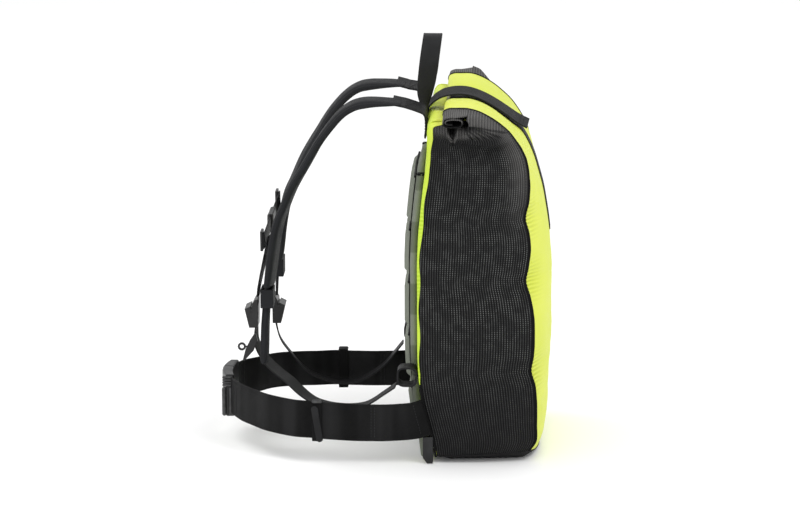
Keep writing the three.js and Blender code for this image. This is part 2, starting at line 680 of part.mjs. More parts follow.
// The foam plate follows the back panel down to the waist and then hangs straight to the ground.
const plateColumns = [1, 0.74, 0.25, -0.25, -0.74, -1];
const rowHeights = clothRows.map((row) => row.backUp * bagHeight);
const plateHeights = [0, ...rowHeights.filter((z) => z < plateTall * 0.96), plateTall];

function plateInner(x, z) {
  const hang = bagDepth * mix(hangFrom, hangTo, Math.min(1, z / hangTop));
  return Math.max(faceY(back, x, Math.max(z, back[0][0].z)), z < hangTop ? hang : 0) + clearance;
}

function addBackPads() {
  const grid = (lift) => plateHeights.map((z) => plateColumns.map((u) => (
    V(u * plateHalf, plateInner(u * plateHalf, z) + lift, z)
  )));
  const outer = grid(plateThick);
  add('back_plate', shell(outer, grid(0)), 'foam');
  for (let k = 0; k < ridgeCount; k++) {
    const low = ridgeStart + ridgePitch * k;
    const rise = [0, 0.1, 0.37, 0.63, 0.9, 1];
    const wide = [1, 0.9, 0, -0.9, -1];
    const lift = (i, j) => (i % (rise.length - 1) === 0 || j % (wide.length - 1) === 0 ? 0.3 : 1);
    const ridge = (thick) => rise.map((r, i) => wide.map((u, j) => {
      const z = low + r * ridgeTall;
      return V(u * ridgeHalf, faceY(outer, u * ridgeHalf, z) + clearance * 2 + thick * lift(i, j), z);
    }));
    add(`back_pad_${k + 1}`, shell(ridge(ridgeThick), ridge(0)), 'foam');
  }
}

// Straps that run in the Y-Z plane, at a side
const backFace = bagDepth * 0.43;
const sideName = (side) => (side < 0 ? 'left' : 'right');

function strapRows(side, route, wide, thick) {
  return route.map((r) => ({
    at: V(side * strapApart * r.out, backFace + strapReach * r.reach, bagHeight * r.up),
    across: V(Math.cos(radians(r.twist)), side * Math.sin(radians(r.twist)), 0),
    wide,
    thick: thick * (r.thick ?? 1),
  }));
}

// The left lock hangs beside its web's end, the right one under its tail.
function lockMiddle(side) {
  if (side < 0) return strapAt(side, 1.2, 1.114, 0.4055);
  const tail = tailRoutes.right[tailRoutes.right.length - 1];
  return strapAt(side, 1.2, 1.036, tail.up).add(V(0, 0, -lockTall / 2 - clearance));
}

function addShoulderStrap(side) {
  const name = sideName(side);
  add(`shoulder_pad_${name}`, band(smooth(strapRows(side, padRoute, padWide, padThick), 22)), 'pad');
  add(`shoulder_tape_${name}`, band(smooth(strapRows(side, tapeRoute, tapeWide, tapeThick), 12), 0), 'webbing');
  add(`strap_web_${name}`, band(smooth(strapRows(side, webRoutes[name], webWide, webThick), 8), 0), 'webbing');
  const tail = smooth(strapRows(side, tailRoutes[name], webWide, webThick * 2), 8);
  add(`strap_tail_${name}`, band(tail, 0), 'webbing');
  const route = strapRows(side, lowerRoutes[name], webWide, webThick);
  route[0].at.z = lockMiddle(side).z - lockTall / 2 - clearance;
  const lower = smooth(route, 20);
  lower[0].along = zAxis.clone().negate();
  add(`lower_strap_${name}`, band(lower, 0), 'webbing');
}

// Hard pieces on the shoulder straps. Outlines are in Y and Z about the piece's own middle.
const yAxis = V(0, 1, 0);
const zAxis = V(0, 0, 1);
const strapX = (side, out) => side * strapApart * out;
const strapY = (reach) => backFace + strapReach * reach;
const strapAt = (side, out, reach, up) => V(strapX(side, out), strapY(reach), bagHeight * up);

function lockOutline(flip) {
  const half = lockTall / 2;
  return [[-5.5, half], [-1, half], [2.4, half * 0.68], [3.3, 2], [4.3, 2], [4.6, half * 0.54],
    [12.5, half * 0.34], [6.6, -half], [-5, -half]].map(([y, z]) => [flip * y, z]);
}

function addLocks() {
  [-1, 1].forEach((side) => {
    const outline = lockOutline(-side);
    const shape = slab(side > 0 ? outline.reverse() : outline, lockWide, 0.6);
    add(`ladder_lock_${sideName(side)}`, place(shape, lockMiddle(side), yAxis, zAxis), 'plastic');
  });
}

function addSleeves() {
  [-1, 1].forEach((side) => {
    const hole = box(sleeveDeep - 2 * sleeveWall, sleeveWide - 2 * sleeveWall);
    const frame = slab(box(sleeveDeep, sleeveWide), sleeveTall, 0.5, [hole]);
    const at = strapAt(side, 1.22, 1.025, padRoute[padRoute.length - 1].up);
    at.z -= sleeveTall / 2 + sleeveDrop;
    add(`keeper_sleeve_${sideName(side)}`, place(frame, at, yAxis, V(-1, 0, 0)), 'webbing');
  });
}

// The small leaf of plastic beside the left lock and the loop on it
function addPullTab() {
  const beside = webWide / 2 + clearance + leafThick / 2;
  const at = strapAt(-1, 1.152, 1.146, 0.307).add(V(-beside, 0, 0));
  const leaf = [[-1, 20], [-6.5, 12], [-6, -2], [0, -19], [2.5, -19], [4.5, -4], [3.5, 10], [1.5, 20]];
  const lean = (deg) => V(0, Math.cos(radians(deg)), Math.sin(radians(deg)));
  add('pull_tab', place(slab(leaf.reverse(), leafThick, 0.5), at, lean(22), lean(112)), 'plastic');
  const turn = (k) => k * Math.PI / 5;
  const ring = (r) => Array.from({ length: 10 }, (_, k) => [r * Math.cos(turn(k)), r * Math.sin(turn(k))]);
  const loopAt = at.clone().add(V(0, loopBehind, loopAbove));
  const loop = slab(ring(loopRound), loopThick, 0.4, [ring(loopHole)]);
  add('pull_loop', place(loop, loopAt, yAxis, zAxis), 'plastic');
}

// The chest strap between the pads, with a slider at each end and a buckle in the middle
const chest = {
  left: strapAt(-1, 1.16, 1.046, 0.607),
  right: strapAt(1, 1.16, 1.012, 0.645),
};

function addSternum() {
  const along = chest.right.clone().sub(chest.left).normalize();
  const middle = mixV(chest.left, chest.right, 0.5);
  const up = zAxis.clone().addScaledVector(along, -along.z);
  [-1, 1].forEach((side) => {
    const end = side < 0 ? chest.left : chest.right;
    const outer = end.clone().addScaledVector(along, side * sternumPast);
    const inner = middle.clone().addScaledVector(along, side * (chestLong / 2 + clearance));
    const spots = [outer, mixV(outer, inner, 0.5), inner];
    const rows = spots.map((at) => ({ at, across: up, wide: sternumWide, thick: webThick }));
    add(`sternum_strap_${sideName(side)}`, band(rows, 0), 'webbing');
    const lift = (webThick + sliderThick) / 2 + clearance;
    const outline = box(sliderLong, sliderTall);
    const slider = place(slab(outline, sliderThick, 0.5), end.clone().add(V(0, lift, 0)), along, up);
    add(`sternum_slider_${sideName(side)}`, slider, 'plastic');
  });
  const buckle = slab(box(chestLong, chestTall), chestThick, 1.5);
  add('sternum_buckle', place(buckle, middle, along, up), 'plastic');
}

// The webbing loops at the bag's lower corners that hold the lower straps
function addLowerAnchors() {
  const soft = (value) => Math.sign(value) * Math.abs(value) ** 0.6;
  const ring = (deep, tall) => Array.from({ length: 12 }, (_, k) => {
    const angle = (k + 0.5) * Math.PI / 6;
    return [deep / 2 * soft(Math.cos(angle)), tall / 2 * soft(Math.sin(angle))];
  });
  const hole = ring(anchorDeep - 2 * anchorThick, anchorTall - 2 * anchorThick);
  [-1, 1].forEach((side) => {
    const loop = slab(ring(anchorDeep, anchorTall), webWide, 0, [hole]);
    const at = V(strapX(side, 1.65), 0, bagHeight * 0.245);
    at.y = faceY(back, at.x - side * webWide / 2, at.z + anchorTall / 3) + clearance + anchorDeep / 2;
    add(`lower_anchor_${sideName(side)}`, place(loop, at, yAxis, zAxis), 'webbing');
  });
}

// How far out the side panel lies at a depth and a height
function sideX(y, z) {
  const i = right.findIndex((row) => lastOf(row).z > z);
  const outAt = (row) => {
    const j = Math.max(0, row.findIndex((p) => p.y > y) - 1);
    if (y > lastOf(row).y) return lastOf(row).x;
    return mix(row[j].x, row[j + 1].x, (y - row[j].y) / (row[j + 1].y - row[j].y));
  };
  return Math.max(outAt(right[i - 1]), outAt(right[i]));
}

// The hip belt with its keepers and buckle
function beltRows(side) {
  const rows = beltRoute.map((r) => ({
    at: V(side * beltHalf * r.out, backFace + beltReach * r.reach, beltRise * r.rise),
    across: V(-side * Math.sin(radians(r.lean)), 0, Math.cos(radians(r.lean))),
    wide: beltWide,
    thick: beltThick,
  }));
  const sewn = rows[0];
  const beside = [-1, 0, 1].map((k) => sideX(sewn.at.y, sewn.at.z + k * beltWide / 2));
  sewn.at.x = side * (Math.max(...beside) + clearance + beltThick / 2);
  const tipX = side * (buckleLong / 2 + clearance + beltThick / 2);
  const tip = V(tipX, backFace + beltReach * beltTip.reach, beltRise * beltTip.rise);
  return smooth([...rows, { at: tip, across: zAxis, wide: beltWide, thick: beltThick }], 20);
}

function addBelt() {
  [-1, 1].forEach((side) => {
    const rows = beltRows(side);
    add(`hip_belt_${sideName(side)}`, band(rows, 0), 'webbing');
    const spot = side < 0 ? 9 : 8;
    const at = rows[spot];
    const next = rows[spot + 1];
    const along = next.at.clone().sub(at.at).normalize();
    const around = (space) => box(beltWide + 2 * space, beltThick + 2 * space);
    const frame = slab(around(keeperPlay + keeperWall), keeperLong, 0.5, [around(keeperPlay)]);
    const middle = mixV(at.at, next.at, 0.5);
    const through = along.clone().cross(at.across);
    add(`belt_keeper_${sideName(side)}`, place(frame, middle, at.across, through), 'plastic');
  });
  const half = buckleLong / 2;
  const buckle = (from, to) => [0, 0.33, 0.67, 1].map((t) => {
    const x = mix(from, to, t);
    const bow = buckleBow * (1.4 - (x / half) ** 2);
    return {
      at: V(x, backFace + beltReach * beltTip.reach + bow, beltRise * beltTip.rise + x * buckleSlope),
      along: V(1, 0, 0),
      across: zAxis,
      wide: beltWide + 2 * buckleLip,
      thick: buckleThick * mix(1, 0.8, Math.abs(x / half)),
    };
  });
  add('hip_buckle_socket', band(buckle(-half, buckleSplit)), 'plastic');
  add('hip_buckle_plug', band(buckle(buckleSplit + clearance, half)), 'plastic');
}

// The grab handle: one web from foot to foot, flat on the bag below and edge-on at the top
function addHandle() {
  const leg = (side) => handleRoute.map((r) => ({
    at: V(side * handleHalf * r.out, bagDepth * r.y, bagHeight + handleRise * r.rise),
    across: V(side * Math.cos(r.turn * Math.PI / 2), Math.sin(r.turn * Math.PI / 2), 0),
    wide: handleWide,
    thick: handleThick,
  }));
  const topAt = V(0, bagDepth * handleTop.y, bagHeight + handleRise);
  const top = { at: topAt, across: yAxis, wide: handleWide, thick: handleThick };
  add('grab_handle', band(smooth([...leg(1), top, ...leg(-1).reverse()], 28), 0), 'webbing');
}

function addClosure() {
  const rows = closureRoute.map((r) => ({
    at: V(closureShift, bagDepth * r.y, bagHeight * r.up),
    across: V(Math.cos(radians(r.twist)), 0, Math.sin(radians(r.twist))),
    wide: closureWide,
    thick: closureThick,
  }));
  add('closure_strap', band(smooth(rows, 22), 0), 'webbing');
}

// The flat tabs at the lower back corners that the bag also stands on
function addFeet() {
  const half = footDeep / 2;
  const outline = [[-half, 0], [half * 0.2, 0], [half, footTall * 0.2], [half, footTall], [-half, footTall]];
  const lean = sideX(bagDepth * 0.35, footTall) + clearance + footThick / 2;
  [-1, 1].forEach((side) => {
    const at = V(side * lean, bagDepth * 0.35, 0);
    add(`base_foot_${sideName(side)}`, place(slab(outline, footThick, 0), at, yAxis, zAxis), 'plastic');
  });
}

addBody();
addRollEnds();
addStripe();
addBackPads();
addHandle();
addClosure();
addShoulderStrap(-1);
addShoulderStrap(1);
addLocks();
addSleeves();
addPullTab();
addSternum();
addLowerAnchors();
addBelt();
addFeet();

export default bag;
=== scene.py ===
# %% [markdown]
# # A roll-top backpack
#
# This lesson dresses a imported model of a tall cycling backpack: a neon front, black ribbed sides, a rolled
# mouth, a foam back, padded straps and a hip belt. The model says where each piece is, so we only read it.
# Everything here is in metres, with the bag's front towards -Y and the wearer's back on the +Y side.

# %% Load the model
import math
import bmesh
import bpy
import numpy as np
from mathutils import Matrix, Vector, noise
from mathutils.bvhtree import BVHTree


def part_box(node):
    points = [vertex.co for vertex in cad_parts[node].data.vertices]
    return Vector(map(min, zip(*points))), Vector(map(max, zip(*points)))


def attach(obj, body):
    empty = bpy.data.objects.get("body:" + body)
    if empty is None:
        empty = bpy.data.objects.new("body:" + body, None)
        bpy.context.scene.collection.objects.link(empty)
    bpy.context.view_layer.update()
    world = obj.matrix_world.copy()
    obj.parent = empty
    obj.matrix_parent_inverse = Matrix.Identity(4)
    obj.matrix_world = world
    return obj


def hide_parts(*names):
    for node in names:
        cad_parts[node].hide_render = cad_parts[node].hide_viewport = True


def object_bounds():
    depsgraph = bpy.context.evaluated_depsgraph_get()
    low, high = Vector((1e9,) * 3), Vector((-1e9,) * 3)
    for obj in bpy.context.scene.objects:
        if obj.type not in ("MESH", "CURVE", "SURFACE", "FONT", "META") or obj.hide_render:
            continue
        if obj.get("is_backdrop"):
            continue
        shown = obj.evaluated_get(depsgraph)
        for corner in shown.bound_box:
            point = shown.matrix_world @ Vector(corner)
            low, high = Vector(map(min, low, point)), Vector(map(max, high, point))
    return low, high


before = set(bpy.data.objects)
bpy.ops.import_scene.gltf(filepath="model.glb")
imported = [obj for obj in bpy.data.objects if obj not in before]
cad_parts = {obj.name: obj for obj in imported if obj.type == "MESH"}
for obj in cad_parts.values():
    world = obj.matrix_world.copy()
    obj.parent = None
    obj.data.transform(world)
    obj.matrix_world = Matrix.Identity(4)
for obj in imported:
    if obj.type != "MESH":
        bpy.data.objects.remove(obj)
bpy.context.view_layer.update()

# %% [markdown]
# The photo was taken from the bag's left, a little above it and from far away, so the lens is a long one. A
# long lens keeps the near and the far strap almost the same size.

# %% Camera
eye = Vector((-4.3811, -0.0730, 1.2483))
aim = Vector((0, 0.103, 0.236))
camera_data = bpy.data.cameras.new("camera")
camera_data.sensor_width = 36
camera_data.lens = 151.1
camera = bpy.data.objects.new("camera", camera_data)
camera.location = eye
camera.rotation_euler = (aim - eye).to_track_quat("-Z", "Y").to_euler()
bpy.context.scene.collection.objects.link(camera)
bpy.context.scene.camera = camera
print("camera is", round((aim - eye).length, 2), "m from the bag")

# %% [markdown]
# The studio is white all round. The white world gives the floor its soft contact shadow, and two large
# lamps give the cloth its direction of light: one above and to the front, one from behind the straps.

# %% Studio light
scene = bpy.context.scene
scene.view_settings.view_transform = "Standard"
world = bpy.data.worlds.new("studio")
scene.world = world
world.use_nodes = True
world.node_tree.nodes["Background"].inputs["Color"].default_value = (1, 1, 1, 1)
world.node_tree.nodes["Background"].inputs["Strength"].default_value = 1.0


def lamp(name, at, toward, size, power):
    data = bpy.data.lights.new(name, "AREA")
    data.energy = power
    data.size = size
    made = bpy.data.objects.new(name, data)
    made.location = at
    made.rotation_euler = (Vector(toward) - Vector(at)).to_track_quat("-Z", "Y").to_euler()
    scene.collection.objects.link(made)
    return made


lamp("key", (-1.2, -1.3, 2.2), (0, 0, 0.3), 1.0, 17)
lamp("rim", (0.4, 1.6, 1.9), (0, 0.1, 0.3), 1.0, 12)
lamp("side", (-2.4, 0.7, 1.1), (0, 0.1, 0.25), 1.4, 6)

# %% [markdown]
# Shader maths reads best as plain sums. Term wraps one socket of a material, and Python's own operators add
# the Math nodes. Finish holds a material and makes every other kind of node.


# %% Shader maths
def plug(tree, socket, value):
    """Links a term to a socket, or sets the socket to a plain value."""
    if isinstance(value, Term):
        tree.links.new(value.socket, socket)
    elif isinstance(value, (tuple, list)) and len(value) == 3 and len(socket.default_value) == 4:
        socket.default_value = (*value, 1)
    else:
        socket.default_value = value


class Term:
    """One socket's value, which can stand in a sum."""

    def __init__(self, tree, socket):
        self.tree = tree
        self.socket = socket

    def maths(self, operation, *values):
        node = self.tree.nodes.new("ShaderNodeMath")
        node.operation = operation
        for socket, value in zip(node.inputs, values):
            plug(self.tree, socket, value)
        return Term(self.tree, node.outputs[0])

    def __add__(self, other):
        return self.maths("ADD", self, other)

    def __radd__(self, other):
        return self.maths("ADD", other, self)

    def __sub__(self, other):
        return self.maths("SUBTRACT", self, other)

    def __rsub__(self, other):
        return self.maths("SUBTRACT", other, self)

    def __mul__(self, other):
        return self.maths("MULTIPLY", self, other)

    def __rmul__(self, other):
        return self.maths("MULTIPLY", other, self)

    def __truediv__(self, other):
        return self.maths("DIVIDE", self, other)

    def larger(self, other):
        return self.maths("MAXIMUM", self, other)

    def size(self):
        return self.maths("ABSOLUTE", self)

    def wave(self, length, turn=0.0):
        """A sine that repeats after length, moved on by turn."""
        angle = self * (2 * math.pi / length)
        return self.maths("SINE", angle + turn if turn else angle)

    def ripple(self, length):
        """The same wave, from 0 to 1."""
        return self.wave(length) * 0.5 + 0.5

    def part(self):
        """What is left after the whole number below it is taken away."""
        return self.maths("FLOORED_MODULO", self, 1.0)

    def above(self, low, high):
        """0 below low, 1 above high, and a soft step between them."""
        node = self.tree.nodes.new("ShaderNodeMapRange")
        node.interpolation_type = "SMOOTHSTEP"
        for socket, value in zip(node.inputs, (self, low, high, 0.0, 1.0)):
            plug(self.tree, socket, value)
        return Term(self.tree, node.outputs[0])


print("sums of terms are ready")


# %% Materials
class Finish:
    """A material and the calls that build its nodes."""

    def __init__(self, name, **constants):
        self.material = bpy.data.materials.new(name)
        self.material.use_nodes = True
        self.tree = self.material.node_tree
        self.shader = self.tree.nodes["Principled BSDF"]
        for socket, value in constants.items():
            self.set(socket.replace("_", " "), value)

    def set(self, socket, value):
        plug(self.tree, self.shader.inputs[socket], value)

    def node(self, kind, inputs=None, output=0, **settings):
        node = self.tree.nodes.new(kind)
        for name, value in settings.items():
            setattr(node, name, value)
        for name, value in (inputs or {}).items():
            plug(self.tree, node.inputs[name], value)
        return Term(self.tree, node.outputs[output])

    def spot(self):
        return self.node("ShaderNodeTexCoord", output="Object")

    def split(self, vector):
        return [self.node("ShaderNodeSeparateXYZ", {"Vector": vector}, output=k) for k in range(3)]

    def cloth(self):
        """Places on the cloth in metres: how far across it and how far along it."""
        return self.split(self.node("ShaderNodeUVMap", uv_map="cloth"))[:2]

    def grain(self, scale, detail=3.0, stretch=None):
        place = self.spot()
        if stretch:
            place = self.node("ShaderNodeVectorMath", {0: place, 1: stretch}, operation="MULTIPLY")
        return self.node("ShaderNodeTexNoise", {"Vector": place, "Scale": scale, "Detail": detail})

    def blend(self, share, first, second):
        """A colour that goes from first to second as share goes from 0 to 1."""
        node = self.tree.nodes.new("ShaderNodeMix")
        node.data_type = "RGBA"
        plug(self.tree, node.inputs[0], share)
        plug(self.tree, node.inputs[6], first)
        plug(self.tree, node.inputs[7], second)
        return Term(self.tree, node.outputs[2])

    def bump(self, height, depth, strength=1.0):
        """Raises the surface by height times depth, in metres."""
        inputs = {"Height": height, "Distance": depth, "Strength": strength}
        self.set("Normal", self.node("ShaderNodeBump", inputs))


print("materials can be made")

# %% [markdown]
# ## Finishes
#
# The neon cloth is coated, so it is smooth and a little glossy with a very fine grain. It stays yellow where
# the light meets it and is painted greener at the back, as painted shade where the bag shades itself. Darker
# wrinkles are painted across the seams where the cloth is pulled in, as painted shade in their creases.

# %% Neon coated cloth
NEON = (0.64, 0.71, 0.075)
NEON_PALE = (0.72, 0.77, 0.12)
# The next two colours are painted shade: greener at the back, where the bag shades itself, and deeper in the
# wrinkles at the pulled seams.
NEON_BACK_SHADE = (0.42, 0.72, 0.03)
NEON_CREASE_SHADE = (0.42, 0.48, 0.02)
PULL_HEIGHTS = (0.123, 0.245, 0.328)
PULL_REACH = 0.04
WRINKLE = 0.0052
THREADS = 0.0011

neon = Finish("neon_cloth", Roughness=0.5, Specular_IOR_Level=0.3)
x, y, z = neon.split(neon.spot())
tone = neon.blend(neon.grain(9.0, 2.0).above(0.35, 0.7) * 0.5, NEON, NEON_PALE)
pulls = sum(z.above(p - PULL_REACH, p) * (1.0 - z.above(p, p + PULL_REACH)) for p in PULL_HEIGHTS)
near_seam = (x * x).above(0.08 ** 2, 0.13 ** 2)
wrinkle_shade = (z + neon.grain(30.0, 2.0) * 0.006).ripple(WRINKLE)
# Painted shade: the wrinkles across the pulled seams are darkened towards a deeper green.
tone = neon.blend(pulls * near_seam * wrinkle_shade, tone, NEON_CREASE_SHADE)
# Painted shade: the back of the bag is painted greener, where the bag shades itself.
neon.set("Base Color", neon.blend(y.above(0.045, 0.07) * 0.5, tone, NEON_BACK_SHADE))
across, along = neon.cloth()
weave = across.wave(THREADS) * along.wave(THREADS)
creases = neon.grain(60.0, 4.0, (0.35, 0.35, 1.0))
neon.set("Roughness", 0.44 + 0.14 * neon.grain(120.0, 2.0))
neon.bump(weave * 0.25 + creases, 0.0006, 0.6)
print(neon.material.name)

# %% [markdown]
# Under the left and right end of the roll the side cloth hangs in a small V with two folds, and a fan of
# creases runs forward from there. Each is a line in the Y-Z plane. The finish paints the two folds lighter,
# as painted highlight, and the creases darker, as painted shade, and the cloth's shape is pressed in along
# them later.

# %% Folds beside the roll's end
FOLD = ((0.0391, 0.4555), (0.0295, 0.4321), (0.0203, 0.4556))
FAN_FROM = (0.0158, 0.4644)
FAN_TO = ((0.003, 0.4345), (-0.006, 0.4355), (-0.015, 0.4365),
          (-0.024, 0.437), (-0.0325, 0.4375), (-0.040, 0.4405))
FOLD_WIDE = 0.0032
CREASE_WIDE = 0.0019


def off_line(y, z, start, end):
    """How far a place lies to one side of a line in the Y-Z plane."""
    long = math.hypot(end[0] - start[0], end[1] - start[1])
    return (y - start[0]) * ((end[1] - start[1]) / long) - (z - start[1]) * ((end[0] - start[0]) / long)


def on_line(y, z, start, end, width):
    """One on the line, fading to nothing at width from it, between the heights of its ends."""
    off = off_line(y, z, start, end)
    low, high = sorted((start[1], end[1]))
    between = z.above(low - 0.001, low + 0.002) * (1.0 - z.above(high - 0.003, high))
    return (1.0 - (off * off).above(0.0, width ** 2)) * between


print(len(FOLD), "points of the V,", len(FAN_TO), "creases in the fan")

# %% [markdown]
# The black sides are a ribbed cloth. Fine upright ribs lie 3.9 mm apart, and on each rib sits a row of
# small reflecting dots. Both follow the cloth, so they are drawn in its own places, across and along. Plain
# tape covers the cloth beside the seams, and the dots fade out towards the base. The grooves between the ribs
# are painted darker as painted shade. Near the roll and along the upper front edge the cloth is painted grey,
# as painted highlight where it faces the light, and the hollow under the roll's end is painted black, as
# painted shade.

# %% Ribbed black cloth
RIB_PITCH = 0.0039
DOT_PITCH = 0.0026
DOT_WIDE = 0.16
DOT_TALL = 0.22
ROLL_RIB_PITCH = 0.0036


def ribbed_cloth(name, dots, wear_and_painted_light=1.0, ribs_from=0.0, ribs_to=1.0):
    """Ribs and dots between ribs_from and ribs_to across. The third argument scales the painted highlight on
    the front edge, near the roll and along its folds, the painted shade in the hollow, and the turn of the
    ribs near the roll.
    """
    finish = Finish(name, Roughness=0.75, Specular_IOR_Level=0.14)
    across, along = finish.cloth()
    inside = across.above(ribs_from, ribs_from + 0.0006) * (1.0 - across.above(ribs_to - 0.0006, ribs_to))
    _, y, z = finish.split(finish.spot())
    near_roll = z.above(0.440, 0.447) * wear_and_painted_light
    rib = across.wave(RIB_PITCH) * (1.0 - near_roll) + y.wave(ROLL_RIB_PITCH) * near_roll
    rib = (rib * 0.5 + 0.5) * inside
    beside = ((across / RIB_PITCH).part() - 0.25) / DOT_WIDE
    below = ((along / DOT_PITCH).part() - 0.5) / DOT_TALL
    dot = (1.0 - (beside * beside + below * below).above(0.5, 1.5)) * inside
    bright = finish.grain(70.0, 3.0).above(0.42, 0.62) * 0.75 + 0.25
    # The dots fade out towards the base and below the roll.
    shown = along.above(0.02, 0.2) * (1.0 - along.above(0.40, 0.43)) * 0.8 + 0.2
    dust = finish.grain(400.0, 2.0).above(0.5, 0.75)
    # Painted highlight: the cloth is painted grey along the upper front edge and near the roll's end, where
    # it faces the light.
    front = across.above(0.125, 0.168) * along.above(0.27, 0.43) * 0.8
    ear = z.above(0.434, 0.449) * (0.75 - 0.35 * y.above(0.022, 0.03))
    # Painted highlight along the two folds of the V, and painted shade along the fan of creases in front of
    # them.
    folds = sum(on_line(y, z, end, FOLD[1], FOLD_WIDE) for end in (FOLD[0], FOLD[2]))
    fan = sum(on_line(y, z, FAN_FROM, end, CREASE_WIDE) for end in FAN_TO)
    # Painted shade: the hollow under the roll's end is painted black.
    hollow = z.above(0.433, 0.435) * (1.0 - z.above(0.458, 0.460))
    for start, end in zip(FOLD, FOLD[1:]):
        hollow = hollow * off_line(y, z, start, end).above(0.0004, 0.0016)
    grey = front.larger(ear).larger(folds) * (1.0 - fan * 0.8) * wear_and_painted_light
    # Crest and groove colours: the grooves are painted darker as painted shade, and both turn grey under the
    # painted highlight.
    crest = finish.blend(grey, (0.019, 0.019, 0.0195), (0.15, 0.145, 0.14))
    groove = finish.blend(grey, (0.0012, 0.0012, 0.0013), (0.055, 0.053, 0.052))
    ground = finish.blend(rib, groove, crest)
    ground = finish.blend(dust * 0.12, ground, (0.05, 0.05, 0.05))
    ground = finish.blend((1.0 - inside) * 0.8, ground, (0.006, 0.006, 0.0065))
    ground = finish.blend(hollow * wear_and_painted_light, ground, (0.001, 0.001, 0.001))
    finish.set("Base Color", finish.blend(dot * bright * shown * dots, ground, (0.17, 0.175, 0.17)))
    finish.set("Roughness", 0.8 - 0.3 * dot)
    finish.bump(rib + dot * 0.2 + dust * 0.1, 0.0009)
    return finish


# The sides carry the painted highlight and shade at 0.85; the base carries none.
ribs = ribbed_cloth("ribbed_cloth", 1.0, 0.85, 0.0022, 0.1718)
ribs_base = ribbed_cloth("ribbed_cloth_base", 0.15, 0.0)
ribs_top = Finish("ribbed_cloth_roll", Roughness=0.75, Specular_IOR_Level=0.2)
_, y, z = ribs_top.split(ribs_top.spot())
rib = y.ripple(0.0027)
handled = ribs_top.grain(30.0, 3.0).above(0.3, 0.7)
# Painted shade: the cloth under the roll's lower rim is painted black.
under = (1.0 - z.above(0.4605, 0.4655)) * y.above(0.010, 0.016)
# Painted highlight: the roll's ends are painted a lighter grey than the sides, with lighter ribs, where they
# face the light.
cloth_tone = ribs_top.blend(rib * 0.8 + handled * 0.2, (0.045, 0.044, 0.043), (0.12, 0.116, 0.112))
ribs_top.set("Base Color", ribs_top.blend(under, cloth_tone, (0.002, 0.002, 0.002)))
ribs_top.bump(rib + ribs_top.grain(300.0, 2.0) * 0.2, 0.0007, 0.9)
print(ribs.material.name, "with ribs", RIB_PITCH * 1000, "mm apart")

# %% [markdown]
# Webbing is woven in fine slanting lines, and the belt is painted with soft upright bands of light and shade
# where it bends. The pads are a plain dense cloth. The back is moulded foam in grey olive, with darker blocks
# painted along its edge as painted shade between the cushions. The buckles are satin plastic, rubbed shiny on
# their bars.

# %% Webbing, pad, foam and plastic
TWILL = 0.0021


def woven(name, dark, light, roughness):
    finish = Finish(name, Roughness=roughness, Specular_IOR_Level=0.13)
    across, along = finish.cloth()
    slant = (across + along).ripple(TWILL)
    cross = (along - across).ripple(TWILL)
    wear_and_painted_light = finish.grain(35.0, 4.0).above(0.4, 0.8)
    finish.set("Base Color", finish.blend(slant * 0.5 + wear_and_painted_light * 0.4, dark, light))
    finish.set("Roughness", roughness - 0.08 + 0.16 * wear_and_painted_light)
    finish.bump(slant * 0.7 + cross * 0.3 + finish.grain(300.0, 2.0) * 0.3, 0.0004, 0.8)
    return finish


webbing = woven("webbing", (0.008, 0.008, 0.0085), (0.026, 0.0265, 0.028), 0.6)
belting = woven("belting", (0.0022, 0.0022, 0.0023), (0.006, 0.006, 0.0063), 0.66)
belt_cloth = woven("belt_cloth", (0.0022, 0.0022, 0.0023), (0.006, 0.006, 0.0063), 0.66)
# Painted light and shade: soft upright bands where the belt bends.
painted_fold_shading = belt_cloth.grain(26.0, 2.0, (1.0, 1.0, 0.06)).above(0.38, 0.64)
belt_cloth.set("Base Color", belt_cloth.blend(painted_fold_shading, (0.0018, 0.0018, 0.0019), (0.0125, 0.0125, 0.013)))
padding = woven("pad_cloth", (0.009, 0.0095, 0.0105), (0.023, 0.024, 0.027), 0.66)
plain_cloth = woven("stripe_cloth", (0.022, 0.022, 0.024), (0.05, 0.05, 0.053), 0.7)

foam = Finish("back_foam", Roughness=0.8, Specular_IOR_Level=0.25)
cells = foam.grain(900.0, 3.0)
pale = foam.blend(foam.grain(12.0, 2.0) * 0.6 + cells * 0.4, (0.19, 0.21, 0.165), (0.25, 0.265, 0.23))
x, _, z = foam.split(foam.spot())
# Painted shade: darker blocks on the plate's edge between the cushions.
painted_shade_blocks = z.wave(0.083, -2.18).above(-0.1, 0.1) * x.size().above(0.1, 0.103)
foam.set("Base Color", foam.blend(painted_shade_blocks * 0.5 + 0.1, pale, (0.075, 0.09, 0.055)))
foam.set("Roughness", 0.7 + 0.2 * cells)
foam.bump(cells, 0.0005, 0.8)

plastic = Finish("black_plastic", Roughness=0.4, Specular_IOR_Level=0.35)
rubbed = plastic.grain(45.0, 4.0).above(0.45, 0.8)
plastic.set("Base Color", plastic.blend(rubbed, (0.007, 0.007, 0.0075), (0.017, 0.0175, 0.019)))
plastic.set("Roughness", 0.34 + 0.2 * rubbed)
plastic.bump(plastic.grain(1100.0, 2.0), 0.0002, 0.5)

gloss = Finish("worn_plastic", Roughness=0.3, Specular_IOR_Level=0.55)
scuffs = gloss.grain(120.0, 3.0).above(0.4, 0.7)
gloss.set("Base Color", gloss.blend(scuffs, (0.014, 0.014, 0.0145), (0.05, 0.05, 0.052)))
gloss.set("Roughness", 0.26 + 0.2 * gloss.grain(300.0, 2.0))

thread = Finish("thread", Roughness=0.7, Specular_IOR_Level=0.2)
thread.set("Base Color", thread.blend(thread.grain(500.0, 2.0), (0.014, 0.014, 0.015), (0.04, 0.041, 0.043)))

